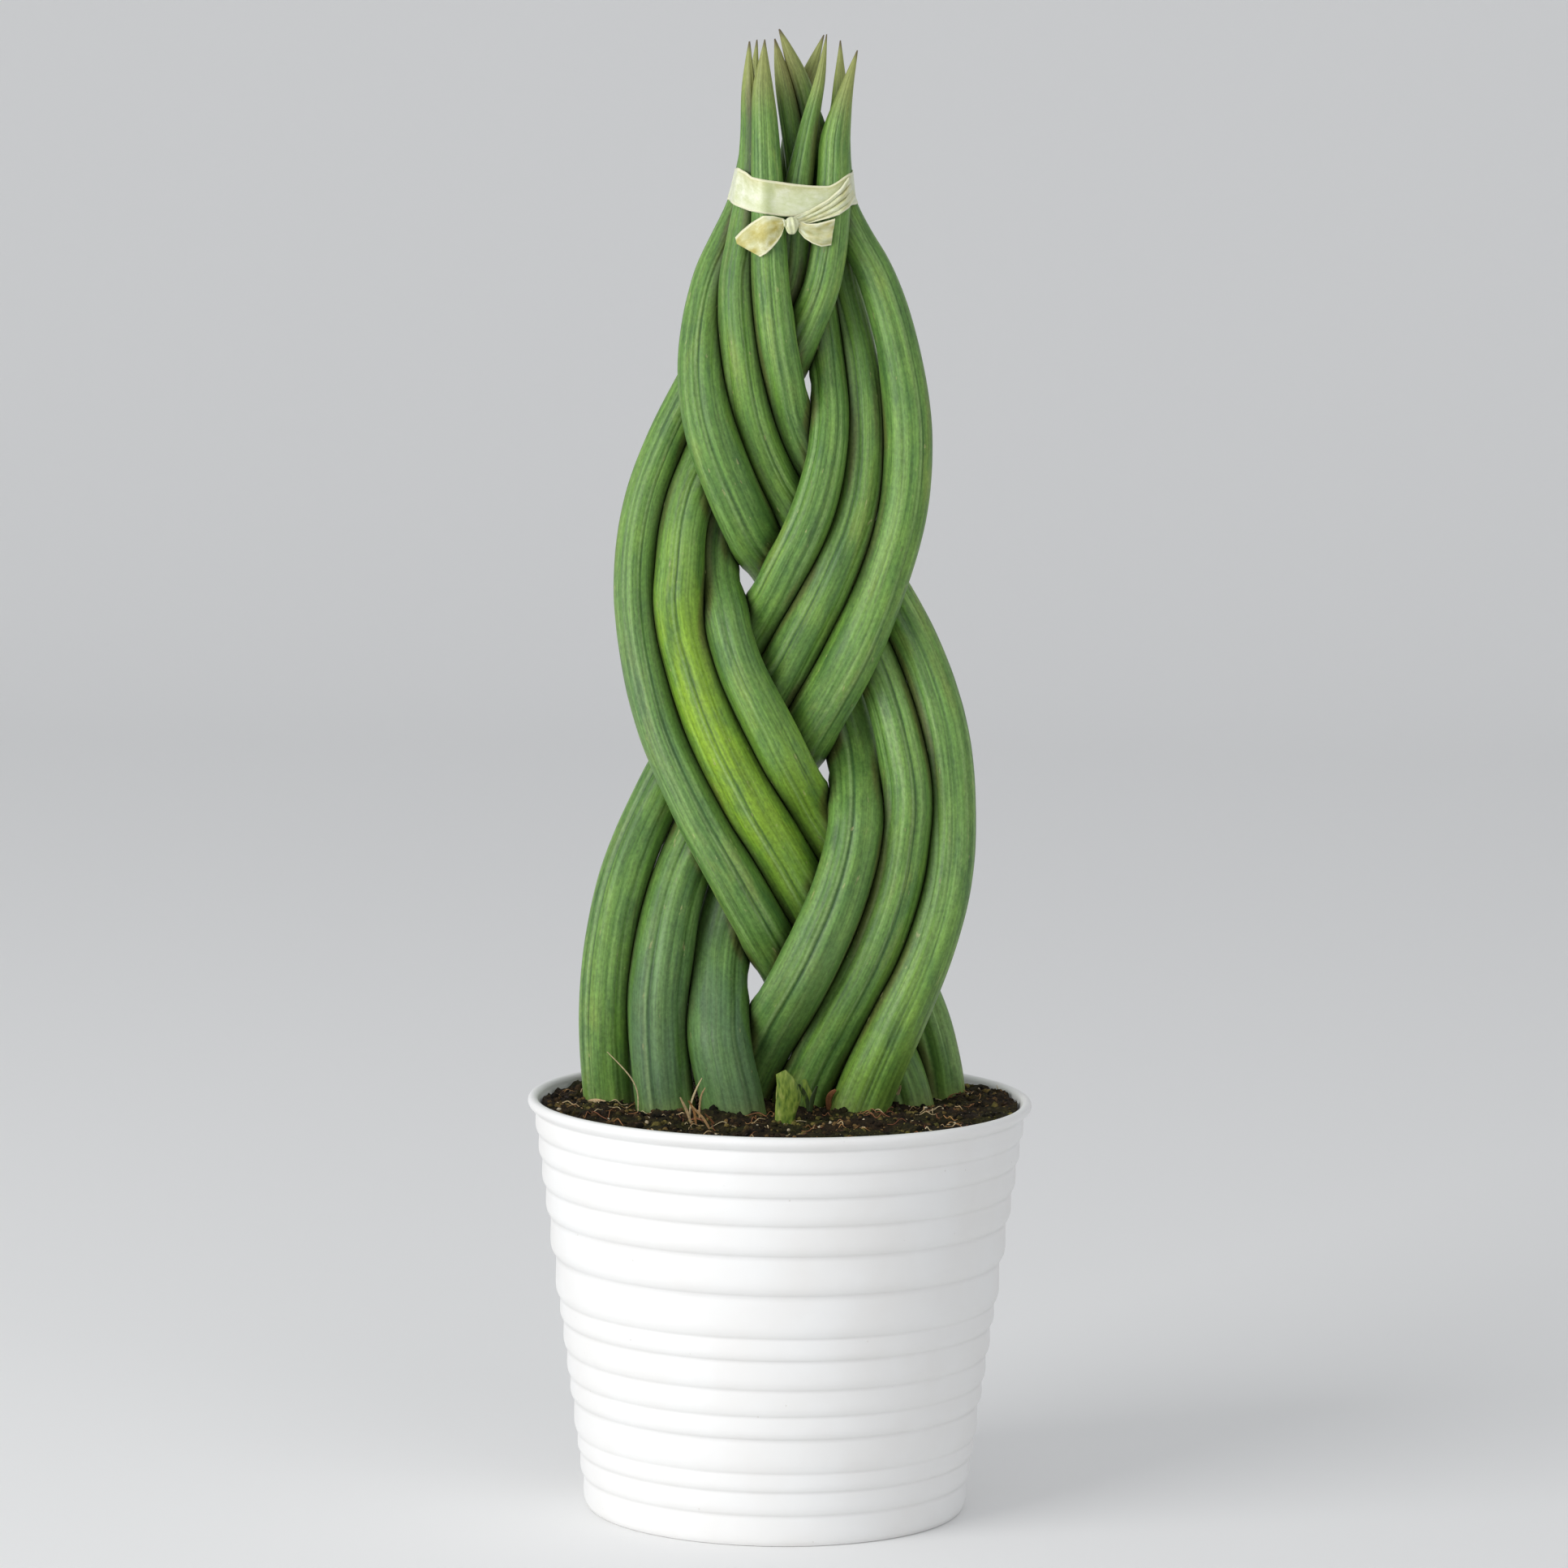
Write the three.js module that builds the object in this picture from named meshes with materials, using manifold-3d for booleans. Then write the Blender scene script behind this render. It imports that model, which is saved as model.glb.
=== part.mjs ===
// Potted twister snake plant: nine cylindrical leaves in three strands of three, plaited above the
// soil, tied near their tips with a satin ribbon and planted in a ribbed white ceramic pot.
// Millimetres, +Z up. The origin is the centre of the pot's underside, and -Y is the front.

import * as THREE from "three";
import { mergeVertices } from "three/addons/utils/BufferGeometryUtils.js";
import Module from "manifold-3d";

const wasm = await Module();
wasm.setup();

// Pot: a tapered cup whose wall steps in at each rib line
const POT_HEIGHT = 140;
const LIP_RADIUS = 85;
const LIP_THICKNESS = 3.6;
const WALL_RADIUS_AT_FOOT = 64;
const WALL_RADIUS_AT_RIM = 83.4;
const WALL_THICKNESS = 4.5;
const FLOOR_THICKNESS = 6;
const FOOT_RING_WIDTH = 12;
const FOOT_RECESS = 1.5;
const FLOOR_BEND = 4;
const RIM_DEPTH = 12;
const RIB_HEIGHTS = [
  10.5, 18.6, 25.1, 36.8, 44.7, 53.7, 63.8, 71.5, 86, 99.4, 109.6, 119.2, 127.4, 135.2,
];
const RIB_STEP = 0.55;
const RIB_RISE = 1.3;
const RIB_BULGE = 0.25;
const RIB_BULGE_AT = 0.45;
// Turned outlines, out from the foot's or the lip's radius and up from the ground or the rim
const FOOT_EDGE = [[-1.6, 0], [-0.3, 1.4], [0.4, 4.5]];
const LIP_OUTSIDE = [[-0.3, -3], [0, -1.5], [-0.6, -0.4], [-1.6, 0]];
const LIP_INSIDE = [[0.5, -0.3], [0, -1.4]];
const POT_SEGMENTS = 36;

// Soil: a lumpy fill a few millimetres below the rim
const SOIL_SURFACE = 136;
const SOIL_LUMP = 0.9;
const SOIL_WAVES = [
  { across: 0.21, depth: 0.13, start: 0 },
  { across: -0.11, depth: 0.29, start: 0 },
  { across: 0.37, depth: 0, start: 1.7 },
];
const SOIL_MOUND = { centre: [-2, 10], height: 1.6, spread: 30 };
const SOIL_RINGS = 7;
const CLEARANCE = 0.3;
const SIDE_CLEARANCE = 0.45;
const HOLE_ROOM = 0.7;
const HOLE_RINGS = 5;
const HOLE_HEADROOM = 20;

// Leaves: each row gives the leaf at HEIGHTS, from just under its tip to its foot in the soil.
// across is X, depth is Y (negative is towards the front), radius is half the leaf's thickness.
const HEIGHTS = [
  482, 462, 441, 415, 390, 365, 340, 315, 290, 265, 240, 215, 190, 165, 140, 112,
];
const LEAVES = [
  {
    name: "leaf_middle_1",
    tip: [-12.3, 4, 494],
    across: [-13, -13.5, -16, -26, -29.5, -26, -16, -1, 12, 21, 24.5, 20, 10, -2.5, -13, -20],
    depth: [5, 6, 7, 0, -7, -8, -4, 6, 8, 6, 1, -6, -8, 0, 14, 20],
    radius: [1.5, 3.3, 4.8, 6, 7, 7.8, 8.2, 8.3, 8.3, 8.3, 8.4, 8.7, 9.2, 9.2, 9.1, 8.6],
  },
  {
    name: "leaf_middle_2",
    tip: [-14.7, -4, 493.3],
    across: [-15, -14, -14.3, -18, -16, -11, -0.5, 14.5, 28.5, 37.5, 40.5, 38.5, 30.5, 18.5, 7.5, 2],
    depth: [-4, -3, -2, -5, -8, -7, -1, 7, 8, 3, -1, -5, -8, 0, 9, 12],
    radius: [1.7, 3.2, 4.5, 5.3, 5.8, 6, 6.3, 6.6, 7, 7.2, 7.4, 7.5, 7.6, 7.8, 8.1, 8],
  },
  {
    name: "leaf_middle_3",
    tip: [-9.6, -7, 494],
    across: [-10, -9, -8, -6.5, -3.5, 2, 16, 32, 45.5, 53.5, 56.5, 55.5, 49, 38.5, 28.5, 20],
    depth: [-7, -8, -9, -9, -9, -5, 5, 8, 5, 0, -2, -4, -7, -6, 3, 7],
    radius: [2.7, 4.3, 5, 5.7, 6, 6.2, 6.4, 6.7, 7.1, 7.4, 7.5, 7.5, 7.8, 8.6, 9, 8.8],
  },
  {
    name: "leaf_left_1",
    tip: [-6.7, 5, 494.3],
    across: [-4, 0, 3.5, 8.5, 12, 13.5, 8.5, -2.5, -15.5, -30, -43, -53, -58, -59.5, -58, -54],
    depth: [5, 5, 5, 8, 6, 0, -7, -7, 5, 8, 7, 3, 1, 3, 8, 10],
    radius: [2.2, 3.3, 4, 4.5, 5, 5.7, 6.6, 6.8, 7, 7.2, 7.5, 7.9, 8.1, 8.2, 8.3, 8],
  },
  {
    name: "leaf_left_2",
    tip: [-4.6, 6, 497.8],
    across: [2, 7.5, 11.5, 17, 23, 25.5, 23.5, 14, 2, -11, -23, -34, -39.5, -41, -39, -34],
    depth: [6, 7, 9, 9, 5, 0, -6, -8, -2, 7, 8, 4, -2, -4, -6, -6],
    radius: [2.6, 3.6, 4.2, 4.9, 5.5, 6, 6.4, 6.9, 7.3, 7.8, 8.2, 8.7, 9.1, 9.3, 9.3, 9],
  },
  {
    name: "leaf_left_3",
    tip: [15.4, 7, 494.1],
    across: [15.5, 15.5, 16.2, 29, 36.5, 40, 38.5, 32, 22, 9, -4, -14, -20.5, -21, -16, -10],
    depth: [7, 7, 5, 4, 0, -2, -5, -8, -8, 0, 8, 8, 0, -5, -9, -10],
    radius: [1.8, 3.5, 4.8, 6, 6.8, 7.4, 7.5, 7.8, 8.3, 8.6, 8.7, 8.8, 9.1, 9.5, 9.9, 9.6],
  },
  {
    name: "leaf_right_1",
    tip: [10, 10, 496],
    across: [5, 0.5, -1.3, -12, -26, -39, -48, -51, -48.5, -42, -30.5, -16.5, -3, 10, 22, 31],
    depth: [11, 12, 14, 12, 9, 6, 1, 0, -1, -4, -8, -7, 2, 17, 26, 28],
    radius: [2.5, 3.8, 4.5, 5.3, 5.9, 6.1, 6.3, 6.4, 6.6, 6.8, 7.2, 7.7, 7.9, 8, 8.1, 8],
  },
  {
    name: "leaf_right_2",
    tip: [10.8, -4, 496],
    across: [9, 4.5, 1.5, -1, -12, -23, -33, -35, -32, -23.5, -10.5, 3.5, 17, 30.5, 42, 47.5],
    depth: [-5, -5, -6, 2, 8, 7, 4, 0, -5, -8, -8, 0, 8, 12, 15, 14],
    radius: [1.5, 3, 4.3, 5.5, 6.1, 6.7, 7.1, 7.4, 7.7, 8.1, 8.5, 8.5, 8.4, 8.4, 8.4, 8.2],
  },
  {
    name: "leaf_right_3",
    tip: [21, -6, 490.8],
    across: [18.5, 14.5, 14, 11, 1, -11, -21.5, -23.5, -16.5, -4, 9, 23, 37, 48.5, 54.5, 56],
    depth: [-6, -7, -7, -7, 3, 8, 7, 1, -7, -8, -3, 7, 9, 16, 28, 33],
    radius: [1.5, 4.4, 5.2, 5.5, 5.8, 6, 6.2, 6.5, 7, 7.5, 7.6, 7.6, 7.7, 7.9, 8.1, 8],
  },
];
const TIP_RADIUS = 0.35;
const LEAF_GAP = 0.6;
const LEAF_FULLNESS = 1.05;
const LEAF_SIDES = 12;
const LEAF_RINGS = 36;
const RING_CROWDING = 0.92;
const GROOVE_DEPTH = 0.05;
const SETTLE_STEP = 2.6;
const SETTLE_ROUNDS = 260;
const SETTLE_REACH = 24;
const SETTLE_FREEDOM = new THREE.Vector3(0.06, 1, 0.06);
const SETTLE_SMOOTHING = { returnSideways: 0.97, evenDepth: 0.3 };
const FINAL_ROUNDS = 40;
const FINAL_SMOOTHING = { returnSideways: 1, evenDepth: 0.1, every: 4 };

// Ribbon: a flat band drawn round all nine leaves, dipping at the front, where it is knotted
const BAND_TOP = 450.5;
const BAND_WIDTH = 10.8;
const BAND_DIP = 4.2;
const BAND_THICKNESS = 1;
const BAND_CLEARANCE = 0.6;
const BAND_SIDES = 36;
const BAND_ROWS = 3;
const HULL_STEPS = 48;
// Folds: gathered ribbon running from above the knot to the right-hand side of the band
const FOLD_RADIUS = 1.5;
const FOLD_TAPER = 0.4;
const FOLD_FLATNESS = 0.7;
const FOLD_PROUD = 0.4;
const FOLD_RISE = 2.5;
const FOLD_END = [19, 447];
const FOLD_SPREAD = 4;
const FOLD_STEPS = 8;
const FOLD_SIDES = 6;
const KNOT = { centre: [-0.5, 433.2], half: [3.2, 2, 3.8] };
const TAIL_THICKNESS = 0.9;
const TAIL_FLARE = 0.12;
// Outlines of the two tails, across and up from the knot's centre
const LEFT_TAIL = [
  [-1, 2], [-8.5, 3], [-13, 0.5], [-18.5, -4.5], [-20, -5.8],
  [-14.5, -8.6], [-10.5, -10.8], [-7.5, -9.2], [-1, -1.5],
];
const RIGHT_TAIL = [
  [1, 1], [7.5, 0], [15, 2], [15.8, -1.8],
  [14.5, -5.5], [12, -7.5], [8, -6.3], [1, -1.5],
];

// Shoot: one young plant coming up through the soil in front of the plait
const SHOOT = { foot: [2.5, -26], height: 14.5, buried: 5, lean: 2 };
const SHOOT_RADII = [1.5, 1.7, 2.2, 3.1, 3.4, 3.1, 2.2, 1.1, 0.3];
const SHOOT_SIDES = 8;
const SHOOT_FLATNESS = 0.75;

const COLOURS = {
  glaze: 0xf1f0ee,
  soil: 0x33261b,
  leaf: 0x5c8a46,
  ribbon: 0xd3d6a6,
  shoot: 0x8f9f3c,
};

function manifoldOf(geometry) {
  const bare = geometry.clone();
  bare.deleteAttribute("normal");
  bare.deleteAttribute("uv");
  const merged = mergeVertices(bare, 1e-4);
  const mesh = new wasm.Mesh({
    numProp: 3,
    vertProperties: new Float32Array(merged.attributes.position.array),
    triVerts: new Uint32Array(merged.index.array),
  });
  return new wasm.Manifold(mesh);
}

function geometryOf(solid) {
  const mesh = solid.getMesh();
  const geometry = new THREE.BufferGeometry();
  geometry.setAttribute("position", new THREE.BufferAttribute(mesh.vertProperties, 3));
  geometry.setIndex(new THREE.BufferAttribute(mesh.triVerts, 1));
  geometry.computeVertexNormals();
  return geometry;
}

// A closed skin through rings of equal point count, with a cap or an apex at each end.
// Rings run anticlockwise seen from the end that the last ring faces.
function skin(rings) {
  const count = rings[0].length;
  const positions = rings.flat().flatMap((point) => point.toArray());
  const index = [];
  for (let row = 0; row + 1 < rings.length; row++) {
    for (let i = 0; i < count; i++) {
      const j = (i + 1) % count;
      const a = row * count + i;
      const b = row * count + j;
      const c = a + count;
      const d = b + count;
      index.push(a, b, d, a, d, c);
    }
  }
  for (const [row, flip] of [[0, true], [rings.length - 1, false]]) {
    const centre = new THREE.Vector3();
    rings[row].forEach((point) => centre.addScaledVector(point, 1 / count));
    const hub = positions.length / 3;
    positions.push(...centre.toArray());
    for (let i = 0; i < count; i++) {
      const a = row * count + i;
      const b = row * count + ((i + 1) % count);
      index.push(hub, flip ? b : a, flip ? a : b);
    }
  }
  const geometry = new THREE.BufferGeometry();
  geometry.setAttribute("position", new THREE.Float32BufferAttribute(positions, 3));
  geometry.setIndex(index);
  geometry.computeVertexNormals();
  return geometry;
}

function lathe(profile) {
  const points = profile.map(([radius, height]) => new THREE.Vector2(radius, height));
  return new THREE.LatheGeometry(points, POT_SEGMENTS).rotateX(Math.PI / 2);
}

function wallRadius(height) {
  return WALL_RADIUS_AT_FOOT + ((WALL_RADIUS_AT_RIM - WALL_RADIUS_AT_FOOT) * height) / POT_HEIGHT;
}

function innerRadius(height) {
  return wallRadius(height) - WALL_THICKNESS;
}

// The cup's outline from the centre of its underside, up the ribbed wall, over the lip and down inside
function potGeometry() {
  const foot = wallRadius(0);
  const recess = foot - FOOT_RING_WIDTH;
  const profile = [
    [0, FOOT_RECESS],
    [recess, FOOT_RECESS],
    [recess + FOOT_RECESS, 0],
    ...FOOT_EDGE.map(([out, up]) => [foot + out, up]),
  ];
  RIB_HEIGHTS.forEach((height, i) => {
    const radius = wallRadius(height);
    profile.push([radius - RIB_STEP, height]);
    const next = RIB_HEIGHTS[i + 1];
    if (next !== undefined) {
      profile.push([radius + RIB_STEP, height + RIB_RISE]);
      profile.push([radius + RIB_STEP + RIB_BULGE, height + RIB_BULGE_AT * (next - height)]);
    }
  });
  const lipInner = LIP_RADIUS - LIP_THICKNESS;
  profile.push(...LIP_OUTSIDE.map(([out, up]) => [LIP_RADIUS + out, POT_HEIGHT + up]));
  profile.push(...LIP_INSIDE.map(([out, up]) => [lipInner + out, POT_HEIGHT + up]));
  profile.push([innerRadius(POT_HEIGHT - RIM_DEPTH), POT_HEIGHT - RIM_DEPTH]);
  profile.push([innerRadius(FLOOR_THICKNESS + FLOOR_BEND), FLOOR_THICKNESS + FLOOR_BEND]);
  profile.push([innerRadius(FLOOR_THICKNESS) - FLOOR_BEND, FLOOR_THICKNESS]);
  profile.push([0, FLOOR_THICKNESS]);
  return lathe(profile);
}

function rowAt(row, height) {
  for (let i = 0; i + 1 < HEIGHTS.length; i++) {
    if (height >= HEIGHTS[i + 1]) {
      const t = (height - HEIGHTS[i + 1]) / (HEIGHTS[i] - HEIGHTS[i + 1]);
      return THREE.MathUtils.lerp(row[i + 1], row[i], Math.min(t, 1));
    }
  }
  return row[row.length - 1];
}

function leafRadius(leaf, height) {
  if (height > HEIGHTS[0]) {
    const t = (height - HEIGHTS[0]) / (leaf.tip[2] - HEIGHTS[0]);
    return THREE.MathUtils.lerp(leaf.radius[0], TIP_RADIUS, t);
  }
  return rowAt(leaf.radius, height);
}

// Even stations along the leaf's drawn line, from tip to foot
function leafStations(leaf) {
  const points = HEIGHTS.map((height, i) => new THREE.Vector3(leaf.across[i], leaf.depth[i], height));
  const curve = new THREE.CatmullRomCurve3([new THREE.Vector3(...leaf.tip), ...points], false, "centripetal");
  const drawn = curve.getSpacedPoints(Math.round(curve.getLength() / SETTLE_STEP));
  return {
    name: leaf.name,
    drawn,
    points: drawn.map((point) => point.clone()),
    radii: drawn.map((point) => leafRadius(leaf, point.z) * LEAF_FULLNESS),
  };
}

// Moves two leaves apart wherever they are nearer than their thicknesses allow, mostly in depth
function partLeaves(a, b) {
  const push = new THREE.Vector3();
  let first = 0;
  for (let i = 0; i < a.points.length; i++) {
    const p = a.points[i];
    while (first < b.points.length && b.points[first].z > p.z + SETTLE_REACH) {
      first++;
    }
    let nearest = -1;
    let least = Infinity;
    for (let j = first; j < b.points.length && b.points[j].z > p.z - SETTLE_REACH; j++) {
      const gap = p.distanceToSquared(b.points[j]);
      if (gap < least) {
        least = gap;
        nearest = j;
      }
    }
    if (nearest < 0) {
      continue;
    }
    const wanted = a.radii[i] + b.radii[nearest] + LEAF_GAP;
    const distance = Math.sqrt(least);
    if (distance < wanted) {
      push.subVectors(p, b.points[nearest]).multiply(SETTLE_FREEDOM);
      push.setLength((wanted - distance) / 2);
      p.add(push);
      b.points[nearest].sub(push);
    }
  }
}

// Evens out how far each leaf has moved, and its bends in depth
function relaxLeaf(leaf, { returnSideways, evenDepth }) {
  const { drawn, points } = leaf;
  const moved = points.map((point, i) => point.clone().sub(drawn[i]));
  const depths = points.map((point) => point.y);
  for (let i = 0; i < points.length; i++) {
    const before = Math.max(i - 1, 0);
    const after = Math.min(i + 1, points.length - 1);
    const even = moved[before].clone().add(moved[after]).multiplyScalar(0.5);
    const shift = moved[i].clone().lerp(even, 0.5);
    points[i].x = drawn[i].x + shift.x * returnSideways;
    points[i].z = drawn[i].z + shift.z * returnSideways;
    const level = (depths[before] + depths[after]) / 2;
    points[i].y = THREE.MathUtils.lerp(drawn[i].y + shift.y, level, evenDepth);
  }
}

function settleLeaves(leaves) {
  for (let round = 0; round < SETTLE_ROUNDS; round++) {
    const last = round >= SETTLE_ROUNDS - FINAL_ROUNDS;
    for (let i = 0; i < leaves.length; i++) {
      for (let j = i + 1; j < leaves.length; j++) {
        partLeaves(leaves[i], leaves[j]);
        partLeaves(leaves[j], leaves[i]);
      }
    }
    if (!last) {
      leaves.forEach((leaf) => relaxLeaf(leaf, SETTLE_SMOOTHING));
    } else if (round % FINAL_SMOOTHING.every === 0) {
      leaves.forEach((leaf) => relaxLeaf(leaf, FINAL_SMOOTHING));
    }
  }
}

// Rings square to the leaf's line, with shallow grooves between ridges and a point at the tip
function leafRings(leaf, { extra = 0, groove = GROOVE_DEPTH, steps = LEAF_RINGS } = {}) {
  const curve = new THREE.CatmullRomCurve3(leaf.points);
  const rings = [];
  const side = new THREE.Vector3(1, 0, 0);
  for (let row = 0; row <= steps; row++) {
    const t = (row / steps) ** RING_CROWDING;
    const along = t * (leaf.points.length - 1);
    const low = Math.min(Math.floor(along), leaf.points.length - 2);
    const radius = THREE.MathUtils.lerp(leaf.radii[low], leaf.radii[low + 1], along - low) + extra;
    const centre = curve.getPoint(t);
    const tangent = curve.getTangent(t);
    side.addScaledVector(tangent, -side.dot(tangent)).normalize();
    const other = new THREE.Vector3().crossVectors(tangent, side);
    const ring = [];
    for (let i = 0; i < LEAF_SIDES; i++) {
      const angle = (2 * Math.PI * i) / LEAF_SIDES;
      const reach = i % 2 === 0 ? radius : radius * (1 - groove);
      ring.push(
        centre
          .clone()
          .addScaledVector(side, reach * Math.cos(angle))
          .addScaledVector(other, reach * Math.sin(angle)),
      );
    }
    rings.push(ring);
  }
  return rings;
}

// The foot of a leaf, and a little more of it below, which its hole in the soil is cut from
function buriedLength(leaf) {
  const from = leaf.points.findIndex((point) => point.z < SOIL_SURFACE + HOLE_HEADROOM);
  const points = leaf.points.slice(from);
  const radii = leaf.radii.slice(from);
  const last = points[points.length - 1];
  const heading = last.clone().sub(points[points.length - 2]).normalize();
  points.push(last.clone().addScaledVector(heading, CLEARANCE));
  radii.push(radii[radii.length - 1]);
  return { points, radii };
}

// Soil top: low lumps from a sum of waves, and a slight mound behind the middle of the plait
function soilHeight(x, y) {
  const lumps = SOIL_WAVES.map(({ across, depth, start }) => Math.sin(x * across + y * depth + start));
  const lump = lumps.reduce((sum, value) => sum + value) / lumps.length;
  const { centre, height, spread } = SOIL_MOUND;
  const mound = Math.exp(-((x - centre[0]) ** 2 + (y - centre[1]) ** 2) / spread ** 2);
  return SOIL_SURFACE + SOIL_LUMP * lump + height * mound;
}

// The fill that takes the cup's inner shape, less a plain hole for each leaf and for the shoot
function soilGeometry(leaves) {
  const ringAt = (radius, heightAt) => {
    const ring = [];
    for (let i = 0; i < POT_SEGMENTS; i++) {
      const angle = (2 * Math.PI * i) / POT_SEGMENTS;
      const x = radius * Math.cos(angle);
      const y = radius * Math.sin(angle);
      ring.push(new THREE.Vector3(x, y, heightAt(x, y)));
    }
    return ring;
  };
  const bottom = FLOOR_THICKNESS + CLEARANCE;
  const turn = bottom + FLOOR_BEND;
  const shoulder = POT_HEIGHT - RIM_DEPTH;
  const rings = [
    ringAt(innerRadius(bottom) - FLOOR_BEND - SIDE_CLEARANCE, () => bottom),
    ringAt(innerRadius(turn) - SIDE_CLEARANCE, () => turn),
    ringAt(innerRadius(shoulder) - SIDE_CLEARANCE, () => shoulder),
  ];
  for (let row = SOIL_RINGS; row >= 1; row--) {
    rings.push(ringAt((innerRadius(shoulder) * row) / SOIL_RINGS, soilHeight));
  }
  let soil = manifoldOf(skin(rings));
  for (const leaf of leaves) {
    const hole = leafRings(buriedLength(leaf), { extra: HOLE_ROOM, groove: 0, steps: HOLE_RINGS });
    soil = soil.subtract(manifoldOf(skin(hole)));
  }
  return geometryOf(soil.subtract(manifoldOf(skin(shootRings(HOLE_ROOM)))));
}

// The oval that a leaf shows where it passes one height: long towards its lean
function leafSection({ points, radii }, height) {
  const below = Math.max(points.findIndex((point) => point.z <= height), 1);
  const [upper, lower] = [points[below - 1], points[below]];
  const t = (upper.z - height) / (upper.z - lower.z);
  const axis = upper.clone().sub(lower).normalize();
  const lean = new THREE.Vector3(axis.x, axis.y, 0).normalize();
  const radius = THREE.MathUtils.lerp(radii[below - 1], radii[below], t);
  return { centre: upper.clone().lerp(lower, t), lean, radius, longRadius: radius / axis.z };
}

// Where a band drawn tight round the leaves runs, seen from above, in one direction from the middle
function bundleEdge(leaves, angle, height, grow) {
  const out = new THREE.Vector3(Math.cos(angle), Math.sin(angle), 0);
  let furthest = -Infinity;
  const edge = new THREE.Vector3();
  for (const leaf of leaves) {
    const { centre, lean, radius, longRadius } = leafSection(leaf, height);
    const along = out.dot(lean);
    const across = out.clone().addScaledVector(lean, -along);
    const support = Math.hypot(longRadius * along, radius * across.length());
    if (centre.dot(out) + support > furthest) {
      furthest = centre.dot(out) + support;
      edge.copy(centre);
      edge.addScaledVector(lean, (longRadius ** 2 * along) / support);
      edge.addScaledVector(across, radius ** 2 / support);
      edge.addScaledVector(out, grow);
    }
  }
  return edge.setZ(height);
}

// The front of such a band at one place across, with the flat stretches between leaves
function bundleFront(leaves, x, height, grow) {
  let before = bundleEdge(leaves, -Math.PI, height, grow);
  for (let step = 1; step <= HULL_STEPS; step++) {
    const after = bundleEdge(leaves, -Math.PI * (1 - step / HULL_STEPS), height, grow);
    if (after.x >= x && after.x > before.x) {
      return before.lerp(after, (x - before.x) / (after.x - before.x));
    }
    before = after;
  }
  return before;
}

// How far the band has slid down in one direction: most at the front, nothing at the back
function bandDip(angle) {
  return BAND_DIP * Math.max(-Math.sin(angle), 0) ** 1.5;
}

// A closed hoop: each ring is the band's section, and the last ring joins the first
function hoop(rings) {
  const count = rings[0].length;
  const index = [];
  rings.forEach((ring, row) => {
    const next = (row + 1) % rings.length;
    for (let i = 0; i < count; i++) {
      const j = (i + 1) % count;
      const [a, b, c, d] = [row * count + i, row * count + j, next * count + i, next * count + j];
      index.push(a, d, b, a, c, d);
    }
  });
  const geometry = new THREE.BufferGeometry();
  const positions = rings.flat().flatMap((point) => point.toArray());
  geometry.setAttribute("position", new THREE.Float32BufferAttribute(positions, 3));
  geometry.setIndex(index);
  return geometry;
}

function bandGeometry(leaves) {
  const rings = [];
  for (let side = 0; side < BAND_SIDES; side++) {
    const angle = (2 * Math.PI * side) / BAND_SIDES;
    const top = BAND_TOP - bandDip(angle);
    const inner = [];
    const outer = [];
    for (let row = 0; row <= BAND_ROWS; row++) {
      const height = top - (BAND_WIDTH * row) / BAND_ROWS;
      inner.push(bundleEdge(leaves, angle, height, BAND_CLEARANCE));
      outer.unshift(bundleEdge(leaves, angle, height, BAND_CLEARANCE + BAND_THICKNESS));
    }
    rings.push([...inner, ...outer]);
  }
  return hoop(rings);
}

// One gathered fold of the band, from the knot round to the right-hand side
function foldGeometry(leaves, drop) {
  const rings = [];
  const from = KNOT.centre[1] + FOLD_RISE;
  for (let step = 0; step <= FOLD_STEPS; step++) {
    const t = step / FOLD_STEPS;
    const x = THREE.MathUtils.lerp(KNOT.centre[0], FOLD_END[0], t);
    const height = THREE.MathUtils.lerp(from, FOLD_END[1] - drop, t);
    const centre = bundleFront(leaves, x, height, BAND_CLEARANCE + BAND_THICKNESS + FOLD_PROUD);
    const radius = FOLD_RADIUS * (1 - FOLD_TAPER * t);
    const ring = [];
    for (let i = 0; i < FOLD_SIDES; i++) {
      const turn = (2 * Math.PI * i) / FOLD_SIDES;
      const depth = FOLD_FLATNESS * radius * Math.cos(turn);
      ring.push(centre.clone().add(new THREE.Vector3(0, depth, radius * Math.sin(turn))));
    }
    rings.push(ring);
  }
  return skin(rings);
}

function tailGeometry(outline, front, turn) {
  const shape = new THREE.Shape(outline.map(([x, y]) => new THREE.Vector2(x, y)));
  const tail = new THREE.ExtrudeGeometry(shape, { depth: TAIL_THICKNESS, bevelEnabled: false });
  tail.translate(0, 0, -TAIL_THICKNESS / 2).rotateX(Math.PI / 2).rotateZ(turn);
  return tail.translate(KNOT.centre[0], front, KNOT.centre[1]);
}

// Band, folds, knot and tails are one length of ribbon, so they are joined in one body
function ribbonGeometry(leaves) {
  const front = bundleFront(leaves, KNOT.centre[0], KNOT.centre[1], BAND_CLEARANCE).y;
  const knotDepth = front - KNOT.half[1];
  const knot = new THREE.SphereGeometry(1, 10, 7);
  knot.scale(KNOT.half[0], KNOT.half[1], KNOT.half[2]);
  knot.translate(KNOT.centre[0], knotDepth, KNOT.centre[1]);
  const pieces = [
    knot,
    foldGeometry(leaves, 0),
    foldGeometry(leaves, FOLD_SPREAD),
    tailGeometry(LEFT_TAIL, knotDepth, TAIL_FLARE),
    tailGeometry(RIGHT_TAIL, knotDepth, -TAIL_FLARE),
  ];
  let ribbon = manifoldOf(bandGeometry(leaves));
  for (const piece of pieces) {
    ribbon = ribbon.add(manifoldOf(piece));
  }
  return geometryOf(ribbon);
}

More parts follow.
